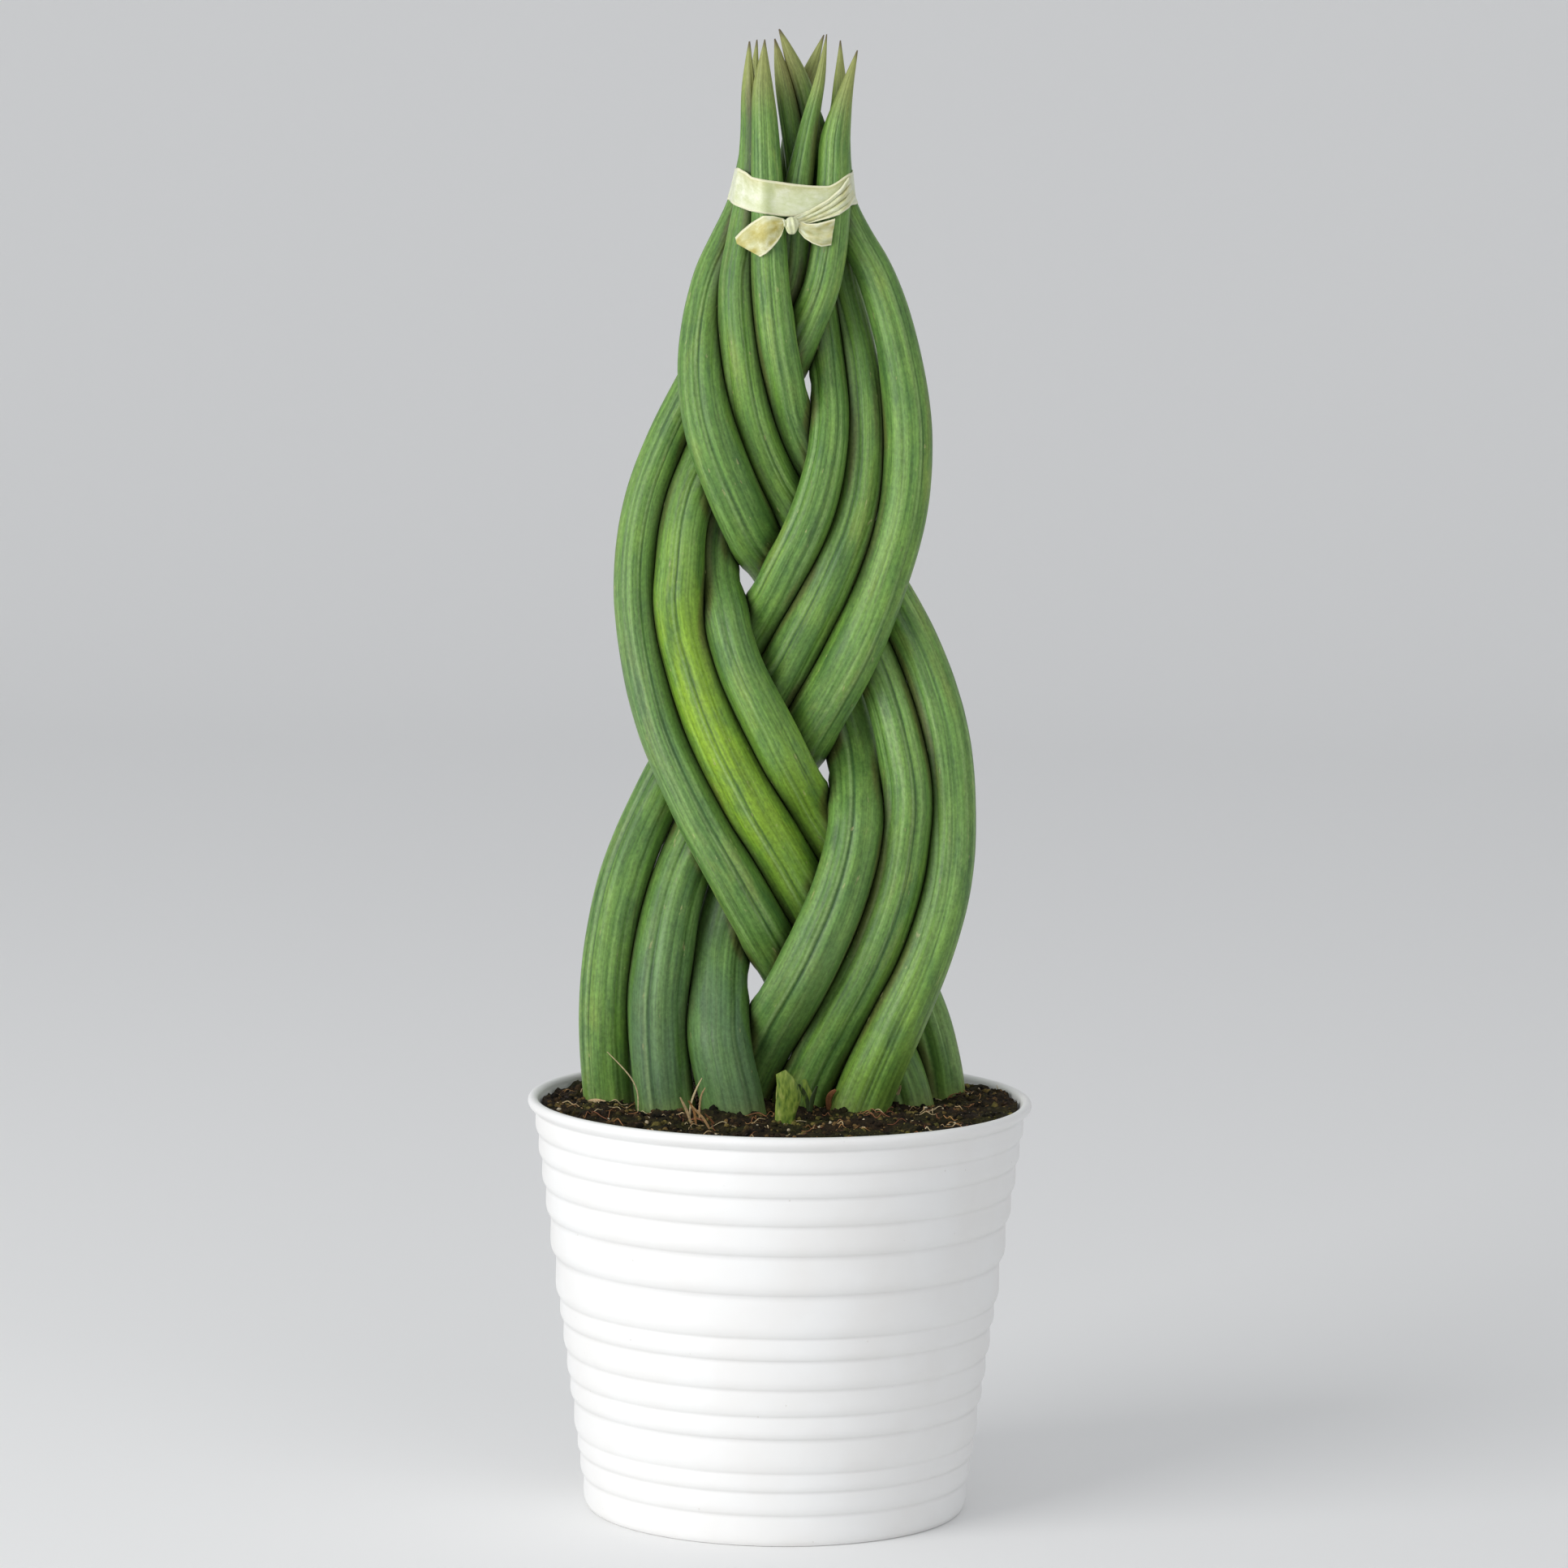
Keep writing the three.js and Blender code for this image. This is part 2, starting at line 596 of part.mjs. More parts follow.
// A blunt bud, flattened a little from front to back, narrow where it leaves the soil
function shootRings(extra) {
  const [x, y] = SHOOT.foot;
  const low = SOIL_SURFACE - SHOOT.buried - extra;
  const high = SOIL_SURFACE + SHOOT.height;
  return SHOOT_RADII.map((radius, row) => {
    const t = row / (SHOOT_RADII.length - 1);
    const ring = [];
    for (let i = 0; i < SHOOT_SIDES; i++) {
      const angle = (2 * Math.PI * i) / SHOOT_SIDES;
      const across = x + (radius + extra) * Math.cos(angle);
      const depth = y + SHOOT.lean * t + SHOOT_FLATNESS * (radius + extra) * Math.sin(angle);
      ring.push(new THREE.Vector3(across, depth, THREE.MathUtils.lerp(low, high, t)));
    }
    return ring;
  });
}

const leaves = LEAVES.map(leafStations);
settleLeaves(leaves);

const object = new THREE.Group();

function add(name, geometry, colour, roughness) {
  const material = new THREE.MeshStandardMaterial({ color: colour, roughness, metalness: 0 });
  const mesh = new THREE.Mesh(geometry, material);
  mesh.name = name;
  object.add(mesh);
}

add("pot", potGeometry(), COLOURS.glaze, 0.35);
add("soil", soilGeometry(leaves), COLOURS.soil, 0.95);
for (const leaf of leaves) {
  add(leaf.name, skin(leafRings(leaf)), COLOURS.leaf, 0.5);
}
add("ribbon_tie", ribbonGeometry(leaves), COLOURS.ribbon, 0.45);
add("shoot", skin(shootRings(0)), COLOURS.shoot, 0.6);

export default object;
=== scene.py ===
import math

import bpy
import numpy as np
from bpy.props import FloatProperty, IntProperty, PointerProperty, StringProperty
from bpy.types import Operator, Panel, PropertyGroup
from mathutils import Matrix, Vector, noise


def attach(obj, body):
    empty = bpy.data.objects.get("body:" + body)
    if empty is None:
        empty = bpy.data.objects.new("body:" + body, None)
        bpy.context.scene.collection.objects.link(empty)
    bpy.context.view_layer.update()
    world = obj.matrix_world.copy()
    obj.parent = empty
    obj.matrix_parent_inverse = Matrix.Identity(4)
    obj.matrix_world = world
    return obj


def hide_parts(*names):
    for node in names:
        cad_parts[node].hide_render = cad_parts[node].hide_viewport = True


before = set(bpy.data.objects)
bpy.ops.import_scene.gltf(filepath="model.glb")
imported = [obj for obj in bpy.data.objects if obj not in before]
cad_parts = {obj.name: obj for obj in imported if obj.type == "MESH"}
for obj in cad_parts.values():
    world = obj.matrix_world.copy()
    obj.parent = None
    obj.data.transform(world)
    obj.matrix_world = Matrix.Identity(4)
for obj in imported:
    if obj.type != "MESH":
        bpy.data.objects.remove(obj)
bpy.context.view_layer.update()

bl_info = {
    "name": "Potted twister snake plant",
    "version": (1, 0, 0),
    "blender": (4, 5, 0),
    "location": "3D View > Sidebar > Snake plant",
    "description": "Plaited cylindrical leaves, their ribbon, the soil and the ribbed pot",
    "category": "Object",
}

MM = 0.001
TURN = 2 * math.pi

# Each leaf's patch of yellow-green: how much, at what height and over what length of the leaf
LEAF_TONES = {
    "leaf_middle_1": (0.10, 0.400, 0.04),
    "leaf_middle_2": (0.25, 0.350, 0.05),
    "leaf_middle_3": (0.35, 0.160, 0.05),
    "leaf_left_1": (0.20, 0.170, 0.04),
    "leaf_left_2": (0.05, 0.300, 0.05),
    "leaf_left_3": (0.15, 0.330, 0.06),
    "leaf_right_1": (0.20, 0.330, 0.05),
    "leaf_right_2": (0.95, 0.262, 0.060),
    "leaf_right_3": (0.60, 0.235, 0.04),
}
# The same for a duller blue-green, which the leaves show low down
LEAF_BLOOMS = {
    "leaf_middle_1": (0.35, 0.180, 0.06),
    "leaf_middle_2": (0.15, 0.200, 0.05),
    "leaf_middle_3": (0.25, 0.230, 0.05),
    "leaf_left_1": (0.20, 0.200, 0.05),
    "leaf_left_2": (0.80, 0.150, 0.07),
    "leaf_left_3": (0.90, 0.150, 0.08),
    "leaf_right_1": (0.45, 0.280, 0.06),
    "leaf_right_2": (0.10, 0.400, 0.05),
    "leaf_right_3": (0.30, 0.330, 0.05),
}
# Each leaf's grooves on the side that is seen: how far across the leaf (-1 is its left edge and 1
# its right), and how deep, where 1 is the deepest
LEAF_GROOVES = {
    "leaf_middle_1": ((-0.08, 1.0), (-0.62, 0.35), (0.55, 0.30)),
    "leaf_middle_2": ((0.38, 0.85), (-0.25, 0.30), (-0.70, 0.45)),
    "leaf_middle_3": ((-0.02, 0.60), (0.14, 0.45), (-0.60, 0.40)),
    "leaf_left_1": ((-0.66, 0.75), (0.02, 0.35), (0.50, 0.45)),
    "leaf_left_2": ((-0.34, 1.0), (0.30, 0.30), (0.72, 0.40)),
    "leaf_left_3": ((-0.25, 0.35), (0.10, 0.40), (0.62, 0.60)),
    "leaf_right_1": ((0.34, 0.80), (-0.40, 0.50), (-0.05, 0.25)),
    "leaf_right_2": ((-0.12, 0.90), (0.46, 0.40), (-0.70, 0.35)),
    "leaf_right_3": ((-0.10, 0.70), (0.52, 0.45), (-0.62, 0.30)),
}
# Two more grooves on the far side: the share of a turn from the front, and how deep
BACK_GROOVES = ((0.37, 0.8), (0.61, 0.6))
LEAVES = tuple(LEAF_TONES)

# Pot, in millimetres: the wall's taper and the lines where each band steps in
POT_HEIGHT = 140.0
LIP_RADIUS = 85.0
LIP_THICKNESS = 3.6
WALL_RADIUS_AT_FOOT = 64.0
WALL_RADIUS_AT_RIM = 83.4
WALL_THICKNESS = 4.5
FLOOR_THICKNESS = 6.0
FLOOR_BEND = 4.0
FOOT_RING_WIDTH = 12.0
FOOT_RECESS = 1.5
RIM_DEPTH = 12.0
RIB_HEIGHTS = (
    10.5, 18.6, 25.1, 36.8, 44.7, 53.7, 63.8, 71.5, 86, 99.4, 109.6, 119.2, 127.4, 135.2,
)
# The foot's rounding, from its flat ring up to the wall: out from the foot's edge, and up
FOOT_CURVE = ((-1.2, 0), (-0.6, 0.12), (-0.2, 0.45), (0, 1.0))
# The lip's rounding, from the last band up over the top and down inside: out from the rim, and up from
# the top. It rolls over within the height of LIP_ROLL
LIP_CURVE = (
    (-2.3, -4.6), (-1.8, -4.2), (-1.05, -3.6), (-0.5, -3.0), (-0.15, -2.4), (0, -1.7), (-0.12, -1.0),
    (-0.45, -0.45), (-0.95, -0.12), (-1.6, 0), (-2.3, -0.08), (-2.9, -0.4), (-3.3, -0.95), (-3.5, -1.7),
    (-3.6, -2.6),
)
LIP_ROLL = 1.7
# Where a band's rounding is drawn, as shares of its height, how full it is, how much of the band it
# takes up at most, and the rows of faces above it
ROUNDING_PLACES = (0.02, 0.08, 0.18, 0.32, 0.5, 0.72, 1.0)
ROUNDING_FULLNESS = 0.8
ROUNDING_SHARE = 0.4
ROWS_ABOVE = 5
# The casting's unevenness is told at this radius and grows with it, so that the middle stays closed. Its
# swells are this wide
WOBBLE_RADIUS = 40
WOBBLE_WIDTH = 45
# Turned points that are nearer to one another than this are joined
SAME_PLACE = 0.02

# The top of the soil, in millimetres. Its lumps: their share of the largest lumps' height, and their width
SOIL_LUMPS = ((1.0, 13), (0.6, 5.5), (0.4, 2.4), (0.25, 1.3))
# A low mound behind the plait and a hollow beside the shoot: height, middle, and spread squared
SOIL_MOUND = (1.4, (-2, 10), 900)
SOIL_HOLLOW = (-4.0, (-3, -10), 26)
# The bank against the pot's wall: its height, and where it rises outwards and towards the back
SOIL_BANK = (1.9, (52, 78), (-45, 15))
SOIL_RINGS = 96
SOIL_SEGMENTS = 360
# Room between the soil and the pot, at the soil's edge, down its sides and under it
SOIL_EDGE_ROOM = 0.15
SOIL_SIDE_ROOM = 0.45
SOIL_FLOOR_ROOM = 0.3

# Loose litter: its colours over its tint, and its roughness. Composted bark is red-brown and dull, pumice
# is pale and porous, and dry roots run from rust to straw with a faint gloss
LITTER = {
    "bark_litter": (((0.0, "#241810"), (0.35, "#573722"), (0.7, "#8C6438"), (1.0, "#BFA068")), 0.8),
    "pumice_grit": (((0.0, "#B9A98A"), (1.0, "#E6DEC8")), 0.85),
    "dry_roots": (((0.0, "#7A432A"), (0.5, "#B0824C"), (1.0, "#E0CFA2")), 0.7),
}
# Bits strewn on the soil, each named as its setting: what it is, its least and largest size in
# millimetres, its shape, how uneven it is, and what is added to the seed
STREWN_BITS = {
    "crumbs": ("moist_peat", 0.4, 2.3, (1.0, 1.0, 1.0), 0.5, 0),
    "clods": ("moist_peat", 0.9, 3.4, (1.0, 1.0, 1.0), 0.8, 9),
    "chips": ("bark_litter", 0.8, 4.8, (1.0, 0.30, 0.20), 0.12, 0),
    "grains": ("pumice_grit", 0.7, 1.8, (1.0, 1.0, 1.0), 0.5, 4),
}
# They lie within this distance of the middle and above this height, in millimetres
STREWN_REACH = 79.3
STREWN_ABOVE = 130
# How much rarer the larger bits are, as a power, the width of the dents in a bit, and its tint
STREWN_SKEW = 2.8
STREWN_DENTS = 1.3
TINT_LEAST = -0.25
TINT_MOST = 0.45

# Loose root threads, in millimetres: how far out they start and may reach, their least length and how
# much longer they may be, their bend at each step, how high they lie and arch, and their half width
THREAD_START = 76
THREAD_LIMIT = 78.5
THREAD_LENGTH = (3, 7)
THREAD_BEND = 0.35
THREAD_STEPS = 5
THREAD_LIFT = 0.3
THREAD_ARCH = 0.8
THREAD_WIDTH = (0.10, 0.10)

# The view that the part is shown in: a long lens, a little above the rim and turned very slightly
LENS = 138.29
SENSOR = 36.0
CAMERA_PLACE = (0.0, -2.01, 0.46672)
CAMERA_PITCH = 0.109334
CAMERA_ROLL = 0.0132126
IMAGE_SIZE = 1932

# The stage, in millimetres: a floor that bends up behind into a wall
STAGE_FRONT = -4500
STAGE_BACK = 2500
STAGE_BEND = 1500
STAGE_STEPS = 24
STAGE_TOP = 5000
STAGE_HALF_WIDTH = 5000
# The lights' places and sizes in metres, and the point that both are turned to
LIGHTS = {
    "key": ((-1.8, -1.5, 0.95), 1.6),
    "fill": ((1.2, -1.9, 1.5), 1.4),
}
LIGHT_AIM = (0, 0, 0.24)

# The leaf's greens, from its darker to its paler lengthwise bands
LEAF_GREENS = ((0.32, "#54783E"), (0.45, "#628846"), (0.57, "#719752"), (0.70, "#88A968"))
# How the leaf's colours lie over each other. Each has its colour and what limits it: a pattern or an
# attribute, the range it is read over, and how much of the colour shows at the two ends of that range
LEAF_LAYERS = (
    ("#83A757", ("blotch", 0.47, 0.72, 0.0, 0.60)),
    ("#42663A", ("blotch", 0.50, 0.27, 0.0, 0.65)),
    ("#8D9A52", ("patch", 0.52, 0.68, 0.0, 0.35), ("blotch", 0.40, 0.60, 0.0, 1.0)),
    ("#567352", ("bloom", 0.0, 1.0, 0.0, 1.0), ("patch", 0.3, 0.6, 0.35, 0.9)),
    ("#8CB03E", ("yellow", 0.0, 1.0, 0.0, 0.9), ("blotch", 0.30, 0.58, 0.25, 1.0)),
    # A painted highlight as a pale line on the rise beside each groove, and a thin line of painted shade
    # along the groove
    ("#A2BE86", ("lip", 0.0, 1.0, 0.0, 0.48), ("patch", 0.35, 0.6, 0.4, 1.0)),
    ("#2B4C2A", ("groove", 0.0, 1.0, 0.0, 0.75), ("patch", 0.35, 0.55, 0.45, 1.0)),
    # Where leaves press together the crevice between them is painted in as shade, dark olive to near black,
    # and a lively green or rusty line runs beside that
    ("#6C9A3C", ("crevice", 0.10, 0.22, 0.0, 0.4), ("patch", 0.45, 0.60, 0.0, 1.0)),
    ("#75603A", ("crevice", 0.22, 0.40, 0.0, 0.55), ("patch", 0.52, 0.38, 0.0, 1.0)),
    # Painted shade in the crevice: dark olive, then near black where the leaves touch
    ("#3C5426", ("crevice", 0.12, 0.45, 0.0, 0.55)),
    ("#1F2A13", ("crevice", 0.30, 0.72, 0.0, 0.93)),
    # Scuffs a few millimetres long, the bleached foot and the dry tip
    ("#A9A878", ("scuff", 0.70, 0.76, 0.0, 0.55)),
    ("#97A05E", ("foot", 0.0, 1.0, 0.0, 1.0)),
    ("#A3A266", ("tip", 0.0, 1.0, 0.0, 0.75)),
    ("#5A4A3C", ("tip", 0.90, 1.0, 0.0, 0.85)),
)
# Patterns on the leaf laid out straight: how wide and how long their patches are in millimetres, and
# their detail and roughness
LEAF_PATTERNS = {
    "band": (2.6, 110, 3.0, 0.55),
    "fibre": (0.8, 26, 2.0, 0.5),
    "blotch": (7, 16, 4.0, 0.62),
    "grain": (0.9, 1.5, 3.0, 0.65),
    "patch": (9, 40, 2.0, 0.5),
    "scuff": (1.6, 5, 2.0, 0.5),
}
# The leaf's shape. Lengths are in millimetres, and reaches round the leaf are shares of a turn
SOLID_SIDES = 12
# Corners of the solid that agree to a hundredth of a millimetre are one point
HUNDREDTHS_IN_METRE = 1e5
# How far a valley, the groove in it and the rise beside it reach, and how far off that rise is
VALLEY_REACH = 0.055
CREASE_REACH = 0.014
RISE_REACH = 0.016
RISE_PLACE = 0.024
# The tip's radius, the middling radius that patterns are laid out on, and the length of a swell
TIP_RADIUS = 0.05
PATTERN_RADIUS = 8
RIPPLE_LENGTH = 24
# Added along each next leaf, in metres, so that no two leaves show the same pattern
PATTERN_SHIFT = 0.7
# The bleached foot's strength and the heights in metres that it fades over, and the same for the dry tip
FOOT_FADE = (0.5, 0.134, 0.146)
TIP_FADE = (1.0, 0.001, 0.034)
# Leaves that press together, in millimetres: how deep one is pressed in at most, the gap that still counts
# as touching, how far the painted shade reaches from a crevice, and how far along a ring is read
DEEPEST_PRESS = 0.6
TOUCHING = 0.3
CREVICE_REACH = 2.6
RING_SLIDE = 2
# Points that are measured at a time, which keeps the memory small
POINTS_AT_A_TIME = 4000

# The ribbon's edges, in millimetres across and up for the band and as places of the image for the rest.
# Behind, the band runs from its top to its foot. It is measured between its highest and lowest heights
BAND_TOP = 451.5
BAND_FOOT = 441.0
BAND_HIGHEST = 453.0
BAND_LOWEST = 433.5
BAND_TOP_EDGE = (
    (-17.7, 451.7), (-15, 450.4), (-13.1, 448.8), (-9.6, 448.1), (-4.2, 447.4), (1.1, 446.7), (6.5, 446.2),
    (11.8, 446.2), (14.5, 447.6), (18.8, 450.5),
)
BAND_LOW_EDGE = (
    (-20.5, 441.3), (-17.5, 439.4), (-13.5, 437.6), (-9.4, 436.7), (-4.1, 436.0), (-0.1, 436.0), (8, 437),
    (14, 438), (19, 439.8), (22, 441.0),
)
FOLDS_UPPER = ((1046, 218), (1036, 232), (1020, 246), (1003, 256), (987, 264), (977, 268))
FOLDS_LOWER = (
    (1054, 243), (1046, 256), (1034, 264.5), (1022, 268.5), (1006, 273), (993, 276.5), (978, 278),
)
LEFT_TAIL_UPPER = ((966, 270), (953, 266.5), (940, 266), (926, 274.5), (913, 285), (902, 297))
LEFT_TAIL_LOWER = ((966, 281), (963, 290), (958, 298), (951, 306), (944, 312.5), (937, 316.5))
RIGHT_TAIL_UPPER = ((984, 272), (995, 276), (1007, 275.5), (1019, 272.5), (1029, 269.5))
RIGHT_TAIL_LOWER = ((984, 285), (991, 293.5), (1001, 300), (1012, 304), (1024, 302))
# The band's faces round the leaves and up its width, the heights that it is measured at, its room to the
# leaves, and the steps that a turn is measured in
BAND_COLUMNS = 300
BAND_ROWS = 14
BAND_LEVELS = 12
BAND_ROOM = 0.1
LOOP_STEPS = 480
# Where the band's slide towards the knot begins and is full, as depths
SLIDE_DEPTHS = (6, -4)
# The band's wrinkles: how far they stand out evenly and unevenly, and their width
WRINKLE_LIFT = (0.12, 0.3)
WRINKLE_WIDTH = 5
# Painted show-through of the leaf behind the sheer ribbon, greener and darker, left of the middle: its
# strength, place and half width
LEAF_SHOW_THROUGH = (0.60, -7.6, 2.3)
# The folds and the tails: their rows and columns, about how deep they lie, and their room to the band
LOOSE_ROWS = 44
LOOSE_COLUMNS = 60
LOOSE_DEPTH = -20
LOOSE_ROOM = 0.2
# The knot: the height of the band's turn behind it, how far before that turn it lies, and its two
# lumps, each with its place in the image and half its width, height and depth in millimetres
KNOT_HEIGHT = 440
KNOT_FORWARD = 2.1
KNOT_LUMPS = ((975.5, 278, 2.0, 2.9, 2.0), (964, 275, 1.5, 1.3, 1.3))
KNOT_ROWS = 25
KNOT_COLUMNS = 48

# Strands that stand in the soil: half width, tint, how far they lean forward, and their places in the
# image from the root up
ROOT_STRANDS = (
    (0.26, 0.95, 9.0, ((786, 1372), (786, 1350), (781, 1334), (772, 1321), (760, 1308), (748, 1296))),
    (0.30, 0.45, 2.0, ((742, 1357), (766, 1364), (784, 1374), (812, 1372), (822, 1376))),
    (0.20, 0.60, 2.0, ((900, 1350), (930, 1342), (938, 1350), (942, 1356))),
    (0.24, 0.80, 3.0, ((1034, 1362), (1040, 1352), (1032, 1348), (1030, 1356))),
    (0.24, 1.00, 4.0, ((1152, 1350), (1150, 1338), (1156, 1328), (1162, 1334), (1158, 1346))),
    (0.22, 0.90, 2.0, ((1232, 1352), (1230, 1344), (1228, 1337))),
    (0.22, 0.85, 1.0, ((1218, 1358), (1223, 1354), (1228, 1360))),
    (0.50, 1.00, 3.0, ((993, 1340), (991, 1331), (989, 1321))),
)
# Papery scraps of old sheath, told in the same way
SHEATH_SCALES = (
    (0.50, 0.75, 4.0, ((853, 1384), (848, 1373), (843, 1362), (838, 1352))),
    (0.45, 0.45, 5.0, ((858, 1384), (856, 1372), (852, 1362), (848, 1356))),
    (0.35, 0.95, 7.0, ((850, 1378), (851, 1362), (857, 1344), (865, 1328))),
    (0.35, 0.70, 6.0, ((862, 1380), (862, 1364), (864, 1350), (869, 1340))),
    (0.45, 0.60, 3.0, ((876, 1388), (868, 1380), (860, 1371), (852, 1362))),
    (0.35, 0.15, 3.0, ((884, 1386), (876, 1380), (868, 1372))),
    (0.35, 0.10, 2.5, ((846, 1380), (858, 1378), (872, 1384))),
    (1.10, 0.15, 5.0, ((1022, 1366), (1021, 1356), (1024, 1348), (1030, 1343))),
    (1.20, 0.85, 5.0, ((1104, 1362), (1103, 1352), (1106, 1343), (1109, 1337))),
    (0.70, 0.75, 3.0, ((720, 1362), (733, 1356), (746, 1357))),
)
# The shoot's blades, told in the same way
SHOOT_BLADES = (
    (4.0, 0.10, 3.0, ((965, 1382), (969, 1364), (972, 1350), (969, 1336), (962, 1321))),
    (1.2, 0.35, 3.6, ((962, 1380), (961, 1364), (960, 1350), (959, 1338))),
    (2.0, -0.15, 3.4, ((978, 1362), (981, 1348), (979, 1336), (972, 1326))),
    (0.8, -0.30, 2.0, ((998, 1372), (994, 1356), (989, 1344), (984, 1336))),
    (0.8, -0.30, 2.0, ((998, 1372), (1001, 1354), (1007, 1338))),
    (1.8, 0.00, 1.0, ((997, 1370), (996, 1354), (992, 1341), (990, 1330))),
)
# How deep a standing strand is rooted, in millimetres, and how flat scraps and blades are
ROOTED = 1.2
SCRAP_FLATNESS = 0.16
BLADE_FLATNESS = 0.3

# A wave texture with a scale of 1 repeats after this many metres
WAVE_LENGTH = 0.314


# Helpers for nodes, meshes and curves


def linear(code):
    """A colour written as sRGB hex, as the linear colour that Blender mixes."""
    values = [int(code[i : i + 2], 16) / 255 for i in (1, 3, 5)]
    curve = [v / 12.92 if v <= 0.04045 else ((v + 0.055) / 1.055) ** 2.4 for v in values]
    return (*curve, 1.0)


def add_node(tree, kind, inputs=(), **settings):
    """Adds one node. Each input is a value, or the output socket that it is linked from."""
    node = tree.nodes.new(kind)
    for name, value in settings.items():
        setattr(node, name, value)
    for key, value in dict(inputs).items():
        if isinstance(value, bpy.types.NodeSocket):
            tree.links.new(value, node.inputs[key])
        else:
            node.inputs[key].default_value = value
    return node


def set_ramp(node, stops):
    """Gives a colour ramp its stops, each a place from 0 to 1 and a hex colour."""
    ramp = node.color_ramp
    while len(ramp.elements) < len(stops):
        ramp.elements.new(0.5)
    for element, (place, code) in zip(ramp.elements, stops):
        element.position = place
        element.color = linear(code)
    return node.outputs["Color"]


def new_material(name):
    """An empty material with its shader and output, and the shader node."""
    material = bpy.data.materials.new(name)
    material.use_nodes = True
    material.node_tree.nodes.clear()
    shader = add_node(material.node_tree, "ShaderNodeBsdfPrincipled")
    add_node(material.node_tree, "ShaderNodeOutputMaterial", {"Surface": shader.outputs["BSDF"]})
    return material, shader


def new_tree(name, inputs):
    """A geometry tree with named inputs for its sizes. Returns the tree and its input and output nodes."""
    tree = bpy.data.node_groups.new(name, "GeometryNodeTree")
    tree.interface.new_socket("Geometry", in_out="INPUT", socket_type="NodeSocketGeometry")
    tree.interface.new_socket("Geometry", in_out="OUTPUT", socket_type="NodeSocketGeometry")
    for label, kind, value in inputs:
        socket = tree.interface.new_socket(label, in_out="INPUT", socket_type=kind)
        if value is not None:
            socket.default_value = value
    return tree, add_node(tree, "NodeGroupInput"), add_node(tree, "NodeGroupOutput")


def grow(piece, tree, values):
    """Runs a geometry tree on a piece with these input values, and keeps the result as a plain mesh."""
    modifier = piece.modifiers.new(tree.name, "NODES")
    modifier.node_group = tree
    sockets = {item.name: item.identifier for item in tree.interface.items_tree if item.in_out == "INPUT"}
    for label, value in values.items():
        modifier[sockets[label]] = value
    graph = bpy.context.evaluated_depsgraph_get()
    mesh = bpy.data.meshes.new_from_object(
        piece.evaluated_get(graph), preserve_all_data_layers=True, depsgraph=graph
    )
    piece.modifiers.clear()
    piece.data = mesh
    piece.data.name = piece.name
    return piece


def new_piece(name, points, faces=(), edges=()):
    """A mesh object at the origin from points in millimetres."""
    mesh = bpy.data.meshes.new(name)
    mesh.from_pydata([tuple(MM * c for c in p) for p in points], edges, faces)
    mesh.update()
    piece = bpy.data.objects.new(name, mesh)
    bpy.context.scene.collection.objects.link(piece)
    return piece


def store(piece, name, values, kind="FLOAT"):
    """Keeps one value for each point of a piece, for its material or its geometry tree."""
    attribute = piece.data.attributes.new(name, kind, "POINT")
    key = "vector" if kind == "FLOAT_VECTOR" else "value"
    attribute.data.foreach_set(key, np.asarray(values, np.float32).ravel())


def finish_piece(piece, material, replaces=()):
    """Smooth shading, one material, the piece hung under the root body, and the solids that it replaces
    hidden.
    """
    piece.data.materials.clear()
    piece.data.materials.append(material)
    piece.data.shade_smooth()
    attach(piece, "root")
    if replaces:
        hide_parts(*replaces)
    return piece


def grid_faces(rows, columns, wrap):
    """Faces of a grid of points, row by row. A wrapped grid joins its last column to its first."""
    faces = []
    for row in range(rows - 1):
        for column in range(columns if wrap else columns - 1):
            after = (column + 1) % columns
            a, b = row * columns + column, row * columns + after
            faces.append((a, b, b + columns, a + columns))
    return faces


def smoothstep(low, high, value):
    """0 below low, 1 above high and an even curve between."""
    t = min(max((value - low) / (high - low), 0.0), 1.0)
    return t * t * (3 - 2 * t)


def smooth_steps(values, low, high):
    """The same curve for a whole array."""
    t = np.clip((values - low) / (high - low), 0.0, 1.0)
    return t * t * (3 - 2 * t)


# Where the leaves run, read from their solids


def leaf_line(node):
    """The middle and the ridge radius of each ring of a leaf's solid, in millimetres, tip first."""
    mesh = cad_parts[node].data
    places = {}
    where = []
    joined = {}
    for vertex in mesh.vertices:
        key = tuple(round(c * HUNDREDTHS_IN_METRE) for c in vertex.co)
        if key not in places:
            places[key] = len(where)
            where.append(vertex.co / MM)
        joined[vertex.index] = places[key]
    near = [set() for _ in where]
    for edge in mesh.edges:
        a, b = (joined[i] for i in edge.vertices)
        if a != b:
            near[a].add(b)
            near[b].add(a)
    # The tip's middle point is the highest that joins a whole ring, and the rings follow one another down
    hubs = [i for i in range(len(where)) if len(near[i]) == SOLID_SIDES]
    hub = max(hubs, key=lambda i: where[i].z)
    seen = {hub}
    ring = near[hub]
    line = []
    while len(ring) == SOLID_SIDES:
        middle = sum((where[i] for i in ring), Vector()) / SOLID_SIDES
        line.append((middle, max((where[i] - middle).length for i in ring)))
        seen |= ring
        ring = set().union(*(near[i] for i in ring)) - seen
    return line


LEAF_LINES = {node: leaf_line(node) for node in LEAVES}


def leaf_sections(height):
    """The middle, the radius and the direction of every leaf where it passes one height."""
    found = []
    for line in LEAF_LINES.values():
        for (upper, wide), (lower, narrow) in zip(line, line[1:]):
            if upper.z >= height > lower.z:
                t = (upper.z - height) / (upper.z - lower.z)
                axis = (upper - lower).normalized()
                found.append((upper.lerp(lower, t), wide + (narrow - wide) * t, axis))
                break
    return found


